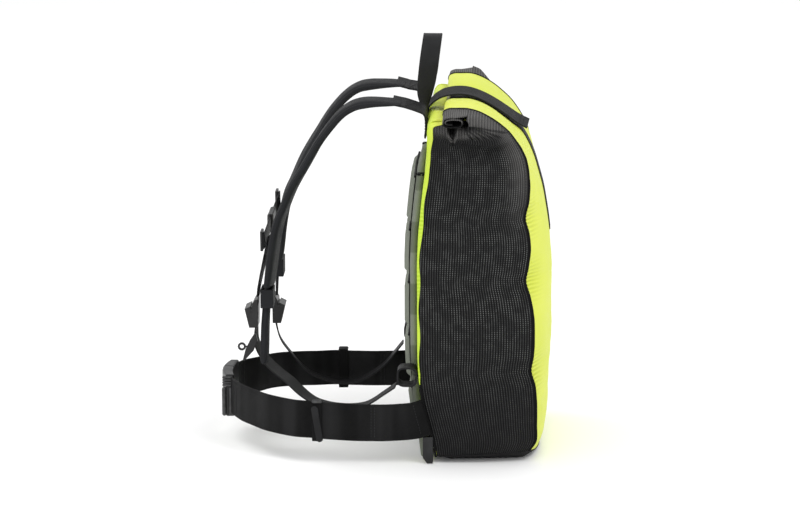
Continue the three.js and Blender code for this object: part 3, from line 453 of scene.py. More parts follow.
floor_paint = Finish("floor", Roughness=0.9, Specular_IOR_Level=0.1)
patches = floor_paint.grain(2.0)
floor_paint.set("Base Color", floor_paint.blend(patches, (0.97, 0.97, 0.97), (0.99, 0.99, 0.99)))
print(len(bpy.data.materials), "materials")

# %% [markdown]
# ## Cloth surfaces
#
# Each panel of the bag is a grid of points, with rows going up and columns going to the right as seen from
# outside. We write few points and let a smooth curve run through them both ways, then give the sheet its
# thickness inward. The grid also gives each point its place on the cloth, which the finishes read.


# %% Helpers for cloth grids
def refine(grid, count, axis):
    """Puts count points on the smooth curve through a grid's points along one axis."""
    grid = np.moveaxis(np.asarray(grid, float), axis, 0)
    steps = np.linalg.norm(np.diff(grid, axis=0)[..., :3], axis=-1)
    gaps = steps.reshape(len(steps), -1).mean(axis=1) if steps.ndim > 1 else steps
    knots = np.concatenate([[0], np.cumsum(gaps)])
    slope = np.diff(grid, axis=0) / gaps.reshape((-1,) + (1,) * (grid.ndim - 1))
    weight = (gaps[:-1] / (gaps[:-1] + gaps[1:])).reshape((-1,) + (1,) * (grid.ndim - 1))
    inside = slope[:-1] * (1 - weight) + slope[1:] * weight
    tangent = np.concatenate([slope[:1], inside, slope[-1:]])
    spots = np.linspace(0, knots[-1], count)
    k = np.clip(np.searchsorted(knots, spots, side="right") - 1, 0, len(grid) - 2)
    span = gaps[k].reshape((-1,) + (1,) * (grid.ndim - 1))
    t = ((spots - knots[k]) / gaps[k]).reshape((-1,) + (1,) * (grid.ndim - 1))
    curve = (
        grid[k] * (2 * t**3 - 3 * t**2 + 1)
        + tangent[k] * span * (t**3 - 2 * t**2 + t)
        + grid[k + 1] * (3 * t**2 - 2 * t**3)
        + tangent[k + 1] * span * (t**3 - t**2)
    )
    return np.moveaxis(curve, 0, axis)


def normals_of(grid):
    """Unit normals of a grid, on the side that it is seen from."""
    along = np.gradient(grid, axis=0)
    across = np.gradient(grid, axis=1)
    facing = np.cross(across, along)
    return facing / np.maximum(np.linalg.norm(facing, axis=-1, keepdims=True), 1e-12)


def lengths(grid, axis):
    """How far each point lies along its own line of the grid."""
    steps = np.linalg.norm(np.diff(grid, axis=axis), axis=-1)
    start = np.zeros_like(np.take(steps, [0], axis=axis))
    return np.concatenate([start, np.cumsum(steps, axis=axis)], axis=axis)


print("grids can be refined and measured")


# %% Pieces from grids
def link(name, mesh, finish):
    """Makes a piece of a mesh: it rides on the bag."""
    mesh.materials.append(finish.material)
    mesh.shade_smooth()
    piece = bpy.data.objects.new(name, mesh)
    scene.collection.objects.link(piece)
    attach(piece, "root")
    return piece


def quads(rows, columns, wrap=False):
    """Faces of a grid of points, closed into a ring across if wrap is true."""
    faces = []
    for start in range(0, (rows - 1) * columns, columns):
        for j in range(columns if wrap else columns - 1):
            right = (j + 1) % columns
            faces.append((start + j, start + right, start + columns + right, start + columns + j))
    return faces


def store_cloth(mesh, places):
    """Writes where each corner of the faces lies on the cloth. Corners past the end of the list get zero."""
    spare = np.zeros((len(mesh.loops) - len(places), 2))
    layer = mesh.uv_layers.new(name="cloth")
    layer.data.foreach_set("uv", np.concatenate([places, spare]).astype(np.float32).ravel())


def cloth_sheet(name, grid, finish, thick, width=None, flip=False):
    """A cloth panel from its outer grid, thickened inward. flip measures the cloth from its right edge."""
    rows, columns = grid.shape[:2]
    mesh = bpy.data.meshes.new(name)
    mesh.from_pydata(grid.reshape(-1, 3).tolist(), [], quads(rows, columns))
    across = lengths(grid, 1)
    share = across / across[:, -1:]
    share = 1 - share if flip else share
    index = np.zeros(len(mesh.loops), int)
    mesh.loops.foreach_get("vertex_index", index)
    places = (share * (width or across[:, -1].mean()), lengths(grid, 0))
    store_cloth(mesh, np.stack([values.ravel()[index] for values in places], axis=1))
    piece = link(name, mesh, finish)
    wall = piece.modifiers.new("wall", "SOLIDIFY")
    wall.thickness = thick
    wall.offset = -1
    return piece


def outward(mesh, weld=0.0):
    """Turns all faces outward, after joining points that lie nearer than weld."""
    shape = bmesh.new()
    shape.from_mesh(mesh)
    if weld:
        bmesh.ops.remove_doubles(shape, verts=shape.verts, dist=weld)
    bmesh.ops.recalc_face_normals(shape, faces=shape.faces)
    shape.to_mesh(mesh)
    shape.free()


def corners(node):
    """The low corner, the high corner and the middle of a node's box."""
    low, high = (np.array(corner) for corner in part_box(node))
    return low, high, (low + high) / 2


print("cloth helpers are ready")

# %% [markdown]
# ## The bag's shape
#
# The sections are listed from the base to the roll: where the seam between front and side runs, how far the
# front swells past it, how wide the bag is, and where the back lies. The seam wanders in and out because
# the stiff cloth is pulled in at three heights. Lengths are shares of the bag's height, depth and half
# width.

# %% Sizes and sections of the bag
BAG_HEIGHT = 0.475
BAG_DEPTH = 0.174
SEAM_HALF = 0.135
CLOTH = 0.002
SIDE_BULGE = 0.013
BACK_BULGE = 0.003
VALLEY_DEEP = 0.009
VALLEY_HALF = 0.045
ROLL_DEPTH = 0.030
ROLL_TALL = 0.0165
ROLL_TURNS = 1.6
ROLL_PITCH = 0.003
EAR_REACH = 0.068
EAR_DROOP = 0.004
STRIPE_HALF = 0.0135

UP, SEAM, MID, WIDE, BACK_UP, BACK, SAG = range(7)
SECTIONS = np.array([
    (0.03, -0.42, -0.485, 0.9, 0.018, 0.29, 0.022),
    (0.06, -0.465, -0.525, 0.92, 0.06, 0.31, 0.008),
    (0.11, -0.467, -0.545, 0.94, 0.11, 0.345, 0),
    (0.185, -0.463, -0.557, 0.95, 0.185, 0.396, 0),
    (0.222, -0.452, -0.563, 0.94, 0.222, 0.411, 0),
    (0.262, -0.422, -0.57, 0.94, 0.262, 0.42, 0),
    (0.3, -0.438, -0.573, 0.94, 0.3, 0.425, 0),
    (0.36, -0.444, -0.576, 0.94, 0.36, 0.427, 0),
    (0.42, -0.438, -0.577, 0.94, 0.42, 0.428, 0),
    (0.468, -0.415, -0.576, 0.93, 0.468, 0.428, 0),
    (0.516, -0.38, -0.572, 0.92, 0.516, 0.429, 0),
    (0.555, -0.397, -0.565, 0.93, 0.555, 0.43, 0),
    (0.61, -0.41, -0.554, 0.93, 0.61, 0.425, 0),
    (0.65, -0.397, -0.54, 0.92, 0.65, 0.42, 0),
    (0.69, -0.368, -0.522, 0.91, 0.69, 0.41, 0),
    (0.73, -0.39, -0.502, 0.91, 0.73, 0.4, 0),
    (0.78, -0.398, -0.465, 0.9, 0.78, 0.385, 0),
    (0.822, -0.39, -0.43, 0.9, 0.822, 0.37, 0),
    (0.858, -0.368, -0.388, 0.89, 0.85, 0.362, 0),
    (0.893, -0.32, -0.33, 0.89, 0.882, 0.358, 0),
    (0.927, -0.253, -0.262, 0.9, 0.915, 0.356, 0),
    (0.954, -0.172, -0.178, 0.93, 0.94, 0.354, 0),
    (0.973, -0.1, -0.105, 0.96, 0.957, 0.335, 0),
    (0.99, -0.01, -0.012, 0.98, 0.9615, 0.19, 0),
    (0.997, 0.055, 0.055, 1, 0.968, 0.045, 0),
])

# The side's fold out to the ear: out past the seam, depth and height of its ridge, rib and hip
EAR = np.array([
    [(0.07, -0.225, 0.905), (0.24, 0.05, 0.9), (0.16, 0.24, 0.908)],
    [(0.26, -0.14, 0.935), (0.4, 0.07, 0.92), (0.26, 0.25, 0.928)],
    [(0.52, -0.06, 0.957), (0.6, 0.09, 0.93), (0.34, 0.245, 0.938)],
    [(0.84, 0.015, 0.975), (0.78, 0.058, 0.949), (0.4, 0.14, 0.9535)],
    [(1, 0.05, 0.9865), (0.84, 0.042, 0.974), (0.4, 0.042, 0.968)],
])
print(len(SECTIONS), "sections,", len(EAR), "of them with an ear")


# %% Grids of the front, back, sides and base
def ease(low, high, t):
    t = np.clip((np.asarray(t, float) - low) / (high - low), 0, 1)
    return t * t * (3 - 2 * t)


def valley(x, up):
    """How far the closing strap presses the cloth down."""
    return VALLEY_DEEP * np.exp(-((x / VALLEY_HALF) ** 2)) * ease(0.89, 0.94, up)


STRIPE_SHARE = STRIPE_HALF / SEAM_HALF
FRONT_COLUMNS = np.array([-1, -0.8, -0.52, -0.28, -STRIPE_SHARE, STRIPE_SHARE, 0.28, 0.52, 0.8, 1])


def half_width(row):
    return SEAM_HALF * (0.985 + 0.015 * ease(0, 0.2, row[BACK_UP]))


def roll_rows(xs):
    """The roll: a flattened spiral that turns back and under from where the front ends."""
    middle_y = BAG_DEPTH * SECTIONS[-1][SEAM] + ROLL_DEPTH * 0.615
    middle_z = BAG_HEIGHT * 0.9985 - ROLL_TALL / 2
    step = 32
    rows = []
    for k in range(1, round(ROLL_TURNS * 360 / step) + 1):
        angle = math.radians(128 - k * step)
        shrink = ROLL_PITCH * k * step / 360
        soft = [math.copysign(abs(v) ** 0.72, v) for v in (math.cos(angle), math.sin(angle))]
        past = np.maximum(0, (np.abs(xs) - SEAM_HALF) / EAR_REACH)
        swell = np.maximum(0, 1 - np.abs(xs / SEAM_HALF) ** 2.6)
        y = np.full_like(xs, middle_y + (ROLL_DEPTH / 2 - shrink) * soft[0])
        z = middle_z + (ROLL_TALL / 2 - shrink) * soft[1] - valley(xs, 1) * swell - EAR_DROOP * past**1.5
        rows.append(np.stack([xs, y, z], axis=1))
    return rows


def front_rows():
    rows = []
    for row in SECTIONS:
        u = FRONT_COLUMNS
        swell = 1 - np.abs(u) ** 2.6
        x = u * SEAM_HALF * (1 + (row[WIDE] - 1) * np.abs(u))
        y = BAG_DEPTH * (row[SEAM] + (row[MID] - row[SEAM]) * swell)
        z = BAG_HEIGHT * (row[UP] - row[SAG] * swell) - valley(x, row[UP]) * swell
        rows.append(np.stack([x, y, z], axis=1))
    return rows


def back_rows():
    rows = []
    for row in SECTIONS:
        u = FRONT_COLUMNS
        x = -u * half_width(row)
        swell = BACK_BULGE * (1 - u * u) * ease(0, 0.15, row[UP]) * ease(0.3, 0.36, row[BACK])
        pressed = valley(x, 1) * (1 - np.abs(u) ** 2.6) * ease(0.95, 0.962, row[BACK_UP])
        rows.append(np.stack([x, BAG_DEPTH * row[BACK] + swell, BAG_HEIGHT * row[BACK_UP] - pressed], axis=1))
    return rows


def side_rows(side):
    """A side from its front seam to its back seam, turned so that columns go right as seen from outside."""
    rows = []
    first = len(SECTIONS) - len(EAR)
    for i, row in enumerate(SECTIONS):
        front = np.array([side * SEAM_HALF * row[WIDE], BAG_DEPTH * row[SEAM], BAG_HEIGHT * row[UP]])
        back = np.array([side * half_width(row), BAG_DEPTH * row[BACK], BAG_HEIGHT * row[BACK_UP]])
        if i >= first:
            spots = [(side * (SEAM_HALF + EAR_REACH * out), BAG_DEPTH * y, BAG_HEIGHT * z)
                     for out, y, z in EAR[i - first]]
        else:
            bulge = SIDE_BULGE * ease(0, 0.12, row[UP] + 0.02)
            spots = [front + (back - front) * c + (side * bulge * (1 - (2 * c - 1) ** 2), 0, 0)
                     for c in (0.2, 0.5, 0.8)]
        line = refine(np.array([front, *spots, back]), 9, 0)
        rows.append(line[::-1] if side < 0 else line)
    return rows


front_grid = np.array(front_rows() + roll_rows(FRONT_COLUMNS * SEAM_HALF))
back_grid = np.array(back_rows())
side_grids = {-1: np.array(side_rows(-1)), 1: np.array(side_rows(1))}
print("front", front_grid.shape, "back", back_grid.shape, "side", side_grids[-1].shape)

# %% [markdown]
# Cloth that is pulled in along a seam answers with small creases that run straight away from it and fade
# out. We press them into the grid itself, so that they catch light from every side. The front, the back and
# the base are then sheets of such grids.


# %% Creases and soft dents
PULLS = (0.258, 0.516, 0.69)
PULL_SPREAD = 0.035


def rough(points, scale, seed):
    """Smooth noise at each point, from -1 to 1."""
    flat = points.reshape(-1, 3) * scale
    values = [noise.noise(Vector(p) + Vector((seed, seed * 2, -seed))) for p in flat]
    return np.array(values).reshape(points.shape[:-1])


def pulled(height, reach, from_seam, wave, deep, points, seed):
    """Creases across a seam at the heights where it is pulled in."""
    total = np.zeros_like(height)
    for k, pull in enumerate(PULLS):
        near = np.exp(-(((height / BAG_HEIGHT - pull) / PULL_SPREAD) ** 2))
        fade = np.exp(-((from_seam / reach) ** 1.4))
        bend = 1.2 * rough(points, 25, seed + k)
        total += near * fade * np.sin(2 * math.pi * height / wave + bend * 3 + k) * deep
    return total


def dress_front(grid):
    grid = refine(refine(grid, 480, 0), 66, 1)
    facing = normals_of(grid)
    x, y, z = np.moveaxis(grid, -1, 0)
    from_seam = np.maximum(SEAM_HALF - np.abs(x), 0)
    body = ease(0.97, 0.9, z / BAG_HEIGHT) * ease(0, 0.02, from_seam)
    body *= 1 - (1 - ease(STRIPE_HALF, STRIPE_HALF + 0.02, np.abs(x))) * ease(0.55, 0.62, z / BAG_HEIGHT)
    lift = pulled(z, 0.055, from_seam, 0.0046, 0.0005, grid, 3)
    lift += body * (rough(grid * (1, 1, 1.5), 12, 1) * 0.0014 + rough(grid * (0.5, 1, 2.4), 30, 5) * 0.0006)
    return grid + facing * lift[..., None]


front_points = dress_front(front_grid)
print("front panel", front_points.shape[0] * front_points.shape[1], "points")


# %% Front, back and base panels
front_panel = cloth_sheet("front_cloth", front_points, neon, CLOTH * 0.8)
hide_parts("front_panel")


def dress_back(grid):
    grid = refine(refine(grid, 150, 0), 60, 1)
    x, y, z = np.moveaxis(grid, -1, 0)
    inside = ease(0, 0.02, SEAM_HALF - np.abs(x)) * ease(0.9, 0.8, z / BAG_HEIGHT)
    lift = inside * rough(grid * (1, 1, 1.5), 14, 9) * 0.0004
    return grid + normals_of(grid) * lift[..., None]


back_points = dress_back(back_grid)
back_panel = cloth_sheet("back_cloth", back_points, neon, CLOTH * 0.8)
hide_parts("back_panel")


def along_list(line, t):
    spot = t * (len(line) - 1)
    k = min(int(spot), len(line) - 2)
    return line[k] + (line[k + 1] - line[k]) * (spot - k)


def base_rows():
    """The base blends the four lower edges and is flat in the middle."""
    left, right = side_grids[-1][0], side_grids[1][0][::-1]
    front, back = front_grid[0], back_grid[0][::-1]
    rows = []
    for i in range(len(left)):
        v = i / (len(left) - 1)
        row = []
        for j, u in enumerate(FRONT_COLUMNS):
            s = (u + 1) / 2
            behind, before = back[0] * (1 - s) + back[-1] * s, front[0] * (1 - s) + front[-1] * s
            p = left[i] * (1 - s) + right[i] * s + along_list(back, s) * (1 - v) + front[j] * v
            p = p - (behind * (1 - v) + before * v)
            p[2] *= ease(0.82, 1, max(abs(u), abs(2 * v - 1)))
            row.append(p)
        rows.append(row)
    return np.array(rows)


base_points = refine(refine(base_rows(), 48, 0), 60, 1)
base_points[..., 2] = np.maximum(base_points[..., 2], 0.0)
base_panel = cloth_sheet("base_cloth", base_points, ribs_base, CLOTH * 0.8)
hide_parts("bottom_panel")
print("back and base are on")

# %% [markdown]
# The sides are ribbed cloth. Under the roll the side folds in half and out to an ear, like the end of a
# paper bag. The ribs follow the cloth, so they fan out where the fold turns.


# %% Side panels and the roll's ends
def near_line(y, z, start, end):
    """How far each point lies from a line in the Y-Z plane, and its share of the way along it."""
    way = np.subtract(end, start)
    share = ((y - start[0]) * way[0] + (z - start[1]) * way[1]) / (way @ way)
    held = np.clip(share, 0, 1)
    return np.hypot(y - start[0] - held * way[0], z - start[1] - held * way[1]), held


def ear_folds(y, z):
    """The hollow under the roll's end, its two folds, and the fan of creases in front of them."""
    left, _ = near_line(y, z, FOLD[0], FOLD[1])
    right, _ = near_line(y, z, FOLD[2], FOLD[1])
    centre, down = near_line(y, z, (0.0297, 0.4600), FOLD[1])
    lift = -0.0075 * np.exp(-((centre / (0.0062 - 0.0045 * down)) ** 2))
    lift += 0.0022 * (np.exp(-(((left - 0.002) / 0.0022) ** 2)) + np.exp(-(((right - 0.002) / 0.0022) ** 2)))
    for end in FAN_TO:
        away, share = near_line(y, z, FAN_FROM, end)
        lift -= 0.0026 * np.exp(-((away / 0.0019) ** 2)) * ease(0.1, 0.4, share) * ease(1.02, 0.9, share)
    return lift


def dress_side(grid, side):
    grid = refine(refine(grid, 230, 0), 90, 1)
    facing = normals_of(grid)
    share = np.linspace(0, 1, grid.shape[1])[None, :] * np.ones(grid.shape[:2])
    share = 1 - share if side < 0 else share
    z = grid[..., 2]
    from_seam = share * BAG_DEPTH
    edge = np.sin(math.pi * share) ** 0.7
    lift = pulled(z, 0.03, from_seam, 0.016, 0.0016, grid, 11) * ease(0, 0.05, share)
    dents = rough(grid * (1, 2.2, 0.7), 11, 21) * 0.0026 + rough(grid * (1, 2.5, 1), 30, 23) * 0.0008
    lift += edge * ease(0.95, 0.86, z / BAG_HEIGHT) * dents
    lift += ear_folds(grid[..., 1], z) * ease(0, 0.03, share) * ease(1, 0.97, share)
    return grid + facing * lift[..., None]


side_points = {side: dress_side(side_grids[side], side) for side in (-1, 1)}
SIDE_NAMES = {-1: "left", 1: "right"}
ear_grids = {}
for side, name in SIDE_NAMES.items():
    panel = cloth_sheet(f"side_cloth_{name}", side_points[side], ribs, CLOTH * 0.8,
                        width=BAG_DEPTH, flip=side > 0)
    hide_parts(f"side_panel_{name}")
    top = side_grids[side][-1]
    edge = top[-3:] if side < 0 else top[:3]
    ear = np.array([edge] + roll_rows(edge[:, 0]))
    ear = refine(refine(ear, 90, 0), 40, 1)
    ear_grids[side] = ear
    roll_end = cloth_sheet(f"roll_end_cloth_{name}", ear, ribs_top, CLOTH * 0.8)
    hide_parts(f"roll_end_{name}")
print("sides are on, down to z", round(float(side_points[-1][..., 2].min()), 4))

# %% [markdown]
# ## Straps
#
# A strap in the model is a chain of rings from end to end. We walk that chain, read each ring's middle,
# width and thickness, and sweep a finer section with rounded edges along the same way.


# %% Read a strap's rings from the model
def rings(node):
    """The rings of a swept solid, from one end to the other."""
    shape = bmesh.new()
    shape.from_mesh(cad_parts[node].data)
    bmesh.ops.remove_doubles(shape, verts=shape.verts, dist=1e-6)

    def levels(start):
        found = {v: 0 for v in start}
        edge = list(start)
        while edge:
            ahead = []
            for v in edge:
                for w in (e.other_vert(v) for e in v.link_edges):
                    if w not in found:
                        found[w] = found[v] + 1
                        ahead.append(w)
            edge = ahead
        return found

    first = levels([shape.verts[:][0]])
    second = levels([max(first, key=first.get)])
    far = max(second.values())
    walk = levels([v for v in second if second[v] == far])
    groups = [[list(v.co) for v in walk if walk[v] == k] for k in range(max(walk.values()) + 1)]
    shape.free()
    return [np.array(g) for g in groups]


def stations(node, count):
    """count smooth rows along a strap: its middle, width direction, width and thickness."""
    rows = []
    before = None
    for ring in rings(node):
        middle = ring.mean(axis=0)
        spread = ring - middle
        across, face = np.linalg.svd(spread)[2][:2]
        if before is not None and across @ before < 0:
            across = -across
        before = across
        rows.append(np.concatenate([middle, across, [np.ptp(spread @ across), np.ptp(spread @ face)]]))
    return refine(np.array(rows), count, 0)


def straight(node, count):
    """The same rows for a short straight strap, from the three main directions of its points."""
    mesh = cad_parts[node].data
    points = np.array([list(v.co) for v in mesh.vertices])
    middle = (points.max(axis=0) + points.min(axis=0)) / 2
    along, across, face = np.linalg.svd(points - middle)[2]
    reach, wide, thick = (np.ptp((points - middle) @ d) for d in (along, across, face))
    spots = middle + np.linspace(-0.5, 0.5, count)[:, None] * reach * along
    return np.array([np.concatenate([p, across, [wide, thick]]) for p in spots])


print("the hip belt's left half has", len(rings("hip_belt_left")), "rings")


# %% Sweep a section along a strap
def side_by_side(rows):
    """Middle, side and face directions of each row, square to the way along."""
    middle = rows[:, :3]
    along = np.gradient(middle, axis=0)
    along /= np.linalg.norm(along, axis=1, keepdims=True)
    side = rows[:, 3:6] - along * (rows[:, 3:6] * along).sum(axis=1, keepdims=True)
    side /= np.linalg.norm(side, axis=1, keepdims=True)
    return middle, side, np.cross(along, side)


def tube(name, grid, finish, closed=False):
    """A tube from rings of points, with flat ends, or joined into a loop if closed is true."""
    grid = np.concatenate([grid, grid[:1]]) if closed else grid
    rows, columns = grid.shape[:2]
    mesh = bpy.data.meshes.new(name)
    faces = quads(rows, columns, wrap=True)
    if not closed:
        faces += [tuple(range(columns))[::-1], tuple(range((rows - 1) * columns, rows * columns))]
    mesh.from_pydata(grid.reshape(-1, 3).tolist(), [], faces)
    across = lengths(np.concatenate([grid, grid[:, :1]], axis=1), 1)
    along = lengths(grid, 0).mean(axis=1)[:, None] * np.ones_like(across)
    places = np.stack([across, along], axis=-1)
    around = (places[:-1, :-1], places[:-1, 1:], places[1:, 1:], places[1:, :-1])
    store_cloth(mesh, np.stack(around, axis=2).reshape(-1, 2))
    outward(mesh, 1e-7 if closed else 0.0)
    return link(name, mesh, finish)


def sweep(name, rows, section, finish, closed=False):
    """A strap: section is swept along the rows, and stretched to each row's width and thickness."""
    middle, side, face = side_by_side(rows)
    flat = np.array([section * (wide / 2, thick / 2) for wide, thick in rows[:, 6:8]])
    grid = middle[:, None] + side[:, None] * flat[..., :1] + face[:, None] * flat[..., 1:]
    return tube(name, grid, finish, closed)


def outline(*quarter):
    """A full section from a quarter: (place, height) from the edge, at 1, to the middle, at 0."""
    upper = [(-u, v) for u, v in quarter] + [(u, v) for u, v in quarter[::-1] if u > 0]
    return np.array(upper + [(u, -v) for u, v in upper[::-1] if v > 0])


print("sweep is ready")

# %% [markdown]
# Flat webbing has a slightly thicker woven edge. A folded strap shows two layers at its side. The pads are
# foam in a cloth sleeve: the faces are crowned, and a bound edge stands out beyond a sewn groove. The belt
# has a fine sewn line along each edge.

# %% Strap sections
WEB = outline((1, 0), (0.985, 0.62), (0.95, 0.98), (0.9, 1), (0.84, 0.86), (0.4, 0.84), (0, 0.84))
PAIR = outline((0.94, 0), (1, 0.3), (0.99, 0.8), (0.94, 1), (0.5, 0.94), (0, 0.92))
PAD = outline((1, 0), (0.995, 0.2), (0.975, 0.4), (0.94, 0.5), (0.9, 0.48), (0.875, 0.42), (0.85, 0.5),
              (0.8, 0.72), (0.7, 0.9), (0.5, 0.985), (0.2, 1))
BELT = outline((1, 0), (0.99, 0.7), (0.96, 1), (0.9, 1), (0.87, 0.7), (0.84, 0.95), (0.5, 0.98), (0, 0.98))
swept = {}


def strap(node, count, shape, finish, reader=stations, change=None):
    """Replaces a strap of the model with a finer sweep of the given section, and keeps its rows."""
    rows = reader(node, count)
    if change:
        rows = change(rows)
    swept[node] = rows
    piece = sweep(node + "_cloth", rows, shape, finish)
    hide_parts(node)
    return piece


print("sections of", len(WEB), len(PAIR), len(PAD), len(BELT), "points")


# %% Shoulder straps and their webs
def waver(rows, size, wave, seed):
    """Small uneven bends, so that a strap doesn't look drawn with a ruler. The ends stay in place."""
    middle, side, face = side_by_side(rows)
    far = np.linspace(0, 1, len(rows))
    hold = np.minimum(ease(0, 0.12, far), ease(1, 0.88, far))
    values = rough(middle, 1 / wave, seed) * size * hold
    moved = rows.copy()
    moved[:, :3] += face * values[:, None]
    return moved


def longer(rows, reach):
    """Lets the end that is farther from the bag run on by reach, into its pad."""
    rows = rows if rows[-1][1] > rows[0][1] else rows[::-1]
    way = rows[-1, :3] - rows[-2, :3]
    more = np.repeat(rows[-1:], 4, axis=0)
    more[:, :3] += way / np.linalg.norm(way) * np.linspace(0.25, 1, 4)[:, None] * reach
    return np.concatenate([rows, more])


def sagging(rows):
    """Leans a tape a little to the left and lets it bend unevenly, as soft webbing does."""
    rows = waver(rows, 0.0016, 0.02, 2)
    far = np.linspace(0, 1, len(rows))
    far = far if rows[-1, 1] > rows[0, 1] else 1 - far
    rows[:, 5] += 0.13 * ease(0, 0.4, far) * rows[:, 3]
    rows[:, 3:6] /= np.linalg.norm(rows[:, 3:6], axis=1, keepdims=True)
    return rows


for name in SIDE_NAMES.values():
    pad = strap(f"shoulder_pad_{name}", 150, PAD, padding,
                change=lambda r: waver(r, 0.0012, 0.05, 7))
    strap(f"shoulder_tape_{name}", 70, WEB, webbing, change=lambda r: longer(sagging(r), 0.012))
    strap(f"strap_web_{name}", 60, WEB, webbing)
    if name == "right":
        strap(f"strap_tail_{name}", 60, PAIR, webbing)
    strap(f"lower_strap_{name}", 160, WEB, webbing)
    strap(f"sternum_strap_{name}", 12, WEB, webbing, reader=straight)
    strap(f"hip_belt_{name}", 200, BELT, belt_cloth, change=lambda r: waver(r, 0.0034, 0.034, 4))
print(len(swept), "straps are on")

# %% [markdown]
# Below its sleeve the left pad ends in a stuffed tip that hangs free. The model has a plain strap there, so
# we sweep the pad's section along it, turn it to face the front, and close it with a round end.


# %% Stuffed end, handle and closing strap
def stuffed_end(rows):
    """The left pad's own end hangs below its sleeve: a stuffed strap with a round tip and little twist."""
    rows = rows if rows[0][2] > rows[-1][2] else rows[::-1]
    rows = rows.copy()
    rows[:, 3:6] = rows[:, 3:6] * 0.25 + np.sign(rows[:1, 3]) * np.array([1.0, 0, 0])
    left = np.linalg.norm(rows[:, :3] - rows[-1, :3], axis=1)
    tip = np.sqrt(1 - (1 - np.clip(left / 0.009, 0.03, 1)) ** 2)
    rows[:, 6] *= 0.9 + 0.1 * tip
    rows[:, 7] = 0.0098 * tip
    return rows


tail = strap("strap_tail_left", 90, PAD, padding, change=stuffed_end)
strap("grab_handle", 180, WEB, webbing, change=lambda r: waver(r, 0.0008, 0.03, 2))
strap("closure_strap", 150, WEB, webbing)
print("straps are on")

# %% [markdown]
# The lower straps pass through small loops of webbing at the bag's lower corners. Each loop is one ring of
# webbing, so its section is swept round a soft rectangle and closed.


# %% Webbing loops at the lower corners
LOOP_THICK = 0.0025


def soft_ring(deep, tall, count):
    angle = np.arange(count) * 2 * math.pi / count
    bend = [np.sign(v) * np.abs(v) ** 0.6 for v in (np.cos(angle), np.sin(angle))]
    return deep / 2 * bend[0], tall / 2 * bend[1]


for name in SIDE_NAMES.values():
    low, high, middle = corners(f"lower_anchor_{name}")
    wide, deep, tall = high - low
    y, z = soft_ring(deep - LOOP_THICK, tall - LOOP_THICK, 48)
    rows = np.array([(*(middle + (0, a, b)), 1, 0, 0, wide, LOOP_THICK) for a, b in zip(y, z)])
    loop = sweep(f"lower_anchor_{name}_cloth", rows, WEB, webbing, closed=True)
    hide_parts(f"lower_anchor_{name}")
print("loops are on")

# %% [markdown]
# ## Hard pieces
#
# The buckles, sliders and locks have the right shape in the model, with hard edges. Moulded plastic never
# has a sharp edge, so each gets a copy whose edges a bevel rounds. Small bars and grips go on top of the
# copies.


# %% Moulded copies of the hard pieces
def moulded(node, edge, finish):
    """A copy of a hard piece whose edges are rounded by edge."""
    shape = bmesh.new()
    shape.from_mesh(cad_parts[node].data)
    bmesh.ops.remove_doubles(shape, verts=shape.verts, dist=1e-6)
    bmesh.ops.dissolve_limit(shape, angle_limit=math.radians(3), verts=shape.verts, edges=shape.edges)
    places = shape.loops.layers.uv.new("cloth")
    for face in shape.faces:
        normal = [abs(v) for v in face.normal]
        keep = [k for k in range(3) if k != normal.index(max(normal))]
        for corner in face.loops:
            corner[places].uv = [corner.vert.co[k] for k in keep]
    mesh = bpy.data.meshes.new(node + "_form")
    shape.to_mesh(mesh)
    shape.free()
    piece = link(node + "_form", mesh, finish)
    rounded = piece.modifiers.new("rounded", "BEVEL")
    rounded.width = edge
    rounded.segments = 3
    rounded.limit_method = "ANGLE"
    rounded.angle_limit = math.radians(25)
    piece.modifiers.new("even", "WEIGHTED_NORMAL")
    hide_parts(node)
    return piece


HARD = {"ladder_lock": 0.0022, "sternum_slider": 0.0007, "base_foot": 0.001}
for kind, edge in HARD.items():
    for name in SIDE_NAMES.values():
        moulded(f"{kind}_{name}", edge, plastic)
for node, edge in (("pull_tab", 0.0008), ("pull_loop", 0.0005), ("sternum_buckle", 0.0012),
                   ("hip_buckle_socket", 0.002), ("hip_buckle_plug", 0.002)):
    moulded(node, edge, plastic)
for name in SIDE_NAMES.values():
    moulded(f"keeper_sleeve_{name}", 0.0022, padding)
    moulded(f"belt_keeper_{name}", 0.0012, belting)
print("hard pieces are rounded")

# %% [markdown]
# The hip buckle has two upright bars and a ribbed grip, the belt's keepers a tongue and a cap, the locks
# three bars that grip the webbing, and the chest buckle three small ridges. A short neck joins the pull
# loop to its tab. All of them are bars with round ends.


# %% Bars and grips on the buckles
def rod(name, start, end, radius, finish=plastic, flat=1.0):
    """A bar with round ends between two points."""
    start, end = np.array(start, float), np.array(end, float)
    way = (end - start) / np.linalg.norm(end - start)
    side = np.cross(way, (1, 0, 0) if abs(way[0]) < 0.9 else (0, 1, 0))
    side /= np.linalg.norm(side)
    face = np.cross(way, side)
    cap = [(math.sin(a), math.cos(a)) for a in np.linspace(0, math.pi / 2, 5)]
    spots = [start - way * radius * c for s, c in cap] + [end + way * radius * s for s, c in cap]
    sizes = [radius * max(s, 0.02) for s, c in cap] + [radius * max(c, 0.02) for s, c in cap]
    turn = np.arange(12) * math.pi / 6
    circle = np.outer(np.cos(turn), side) + np.outer(np.sin(turn), face) * flat
    rings_of_bar = np.array([p + circle * size for p, size in zip(spots, sizes)])
    return tube(name, rings_of_bar, finish)


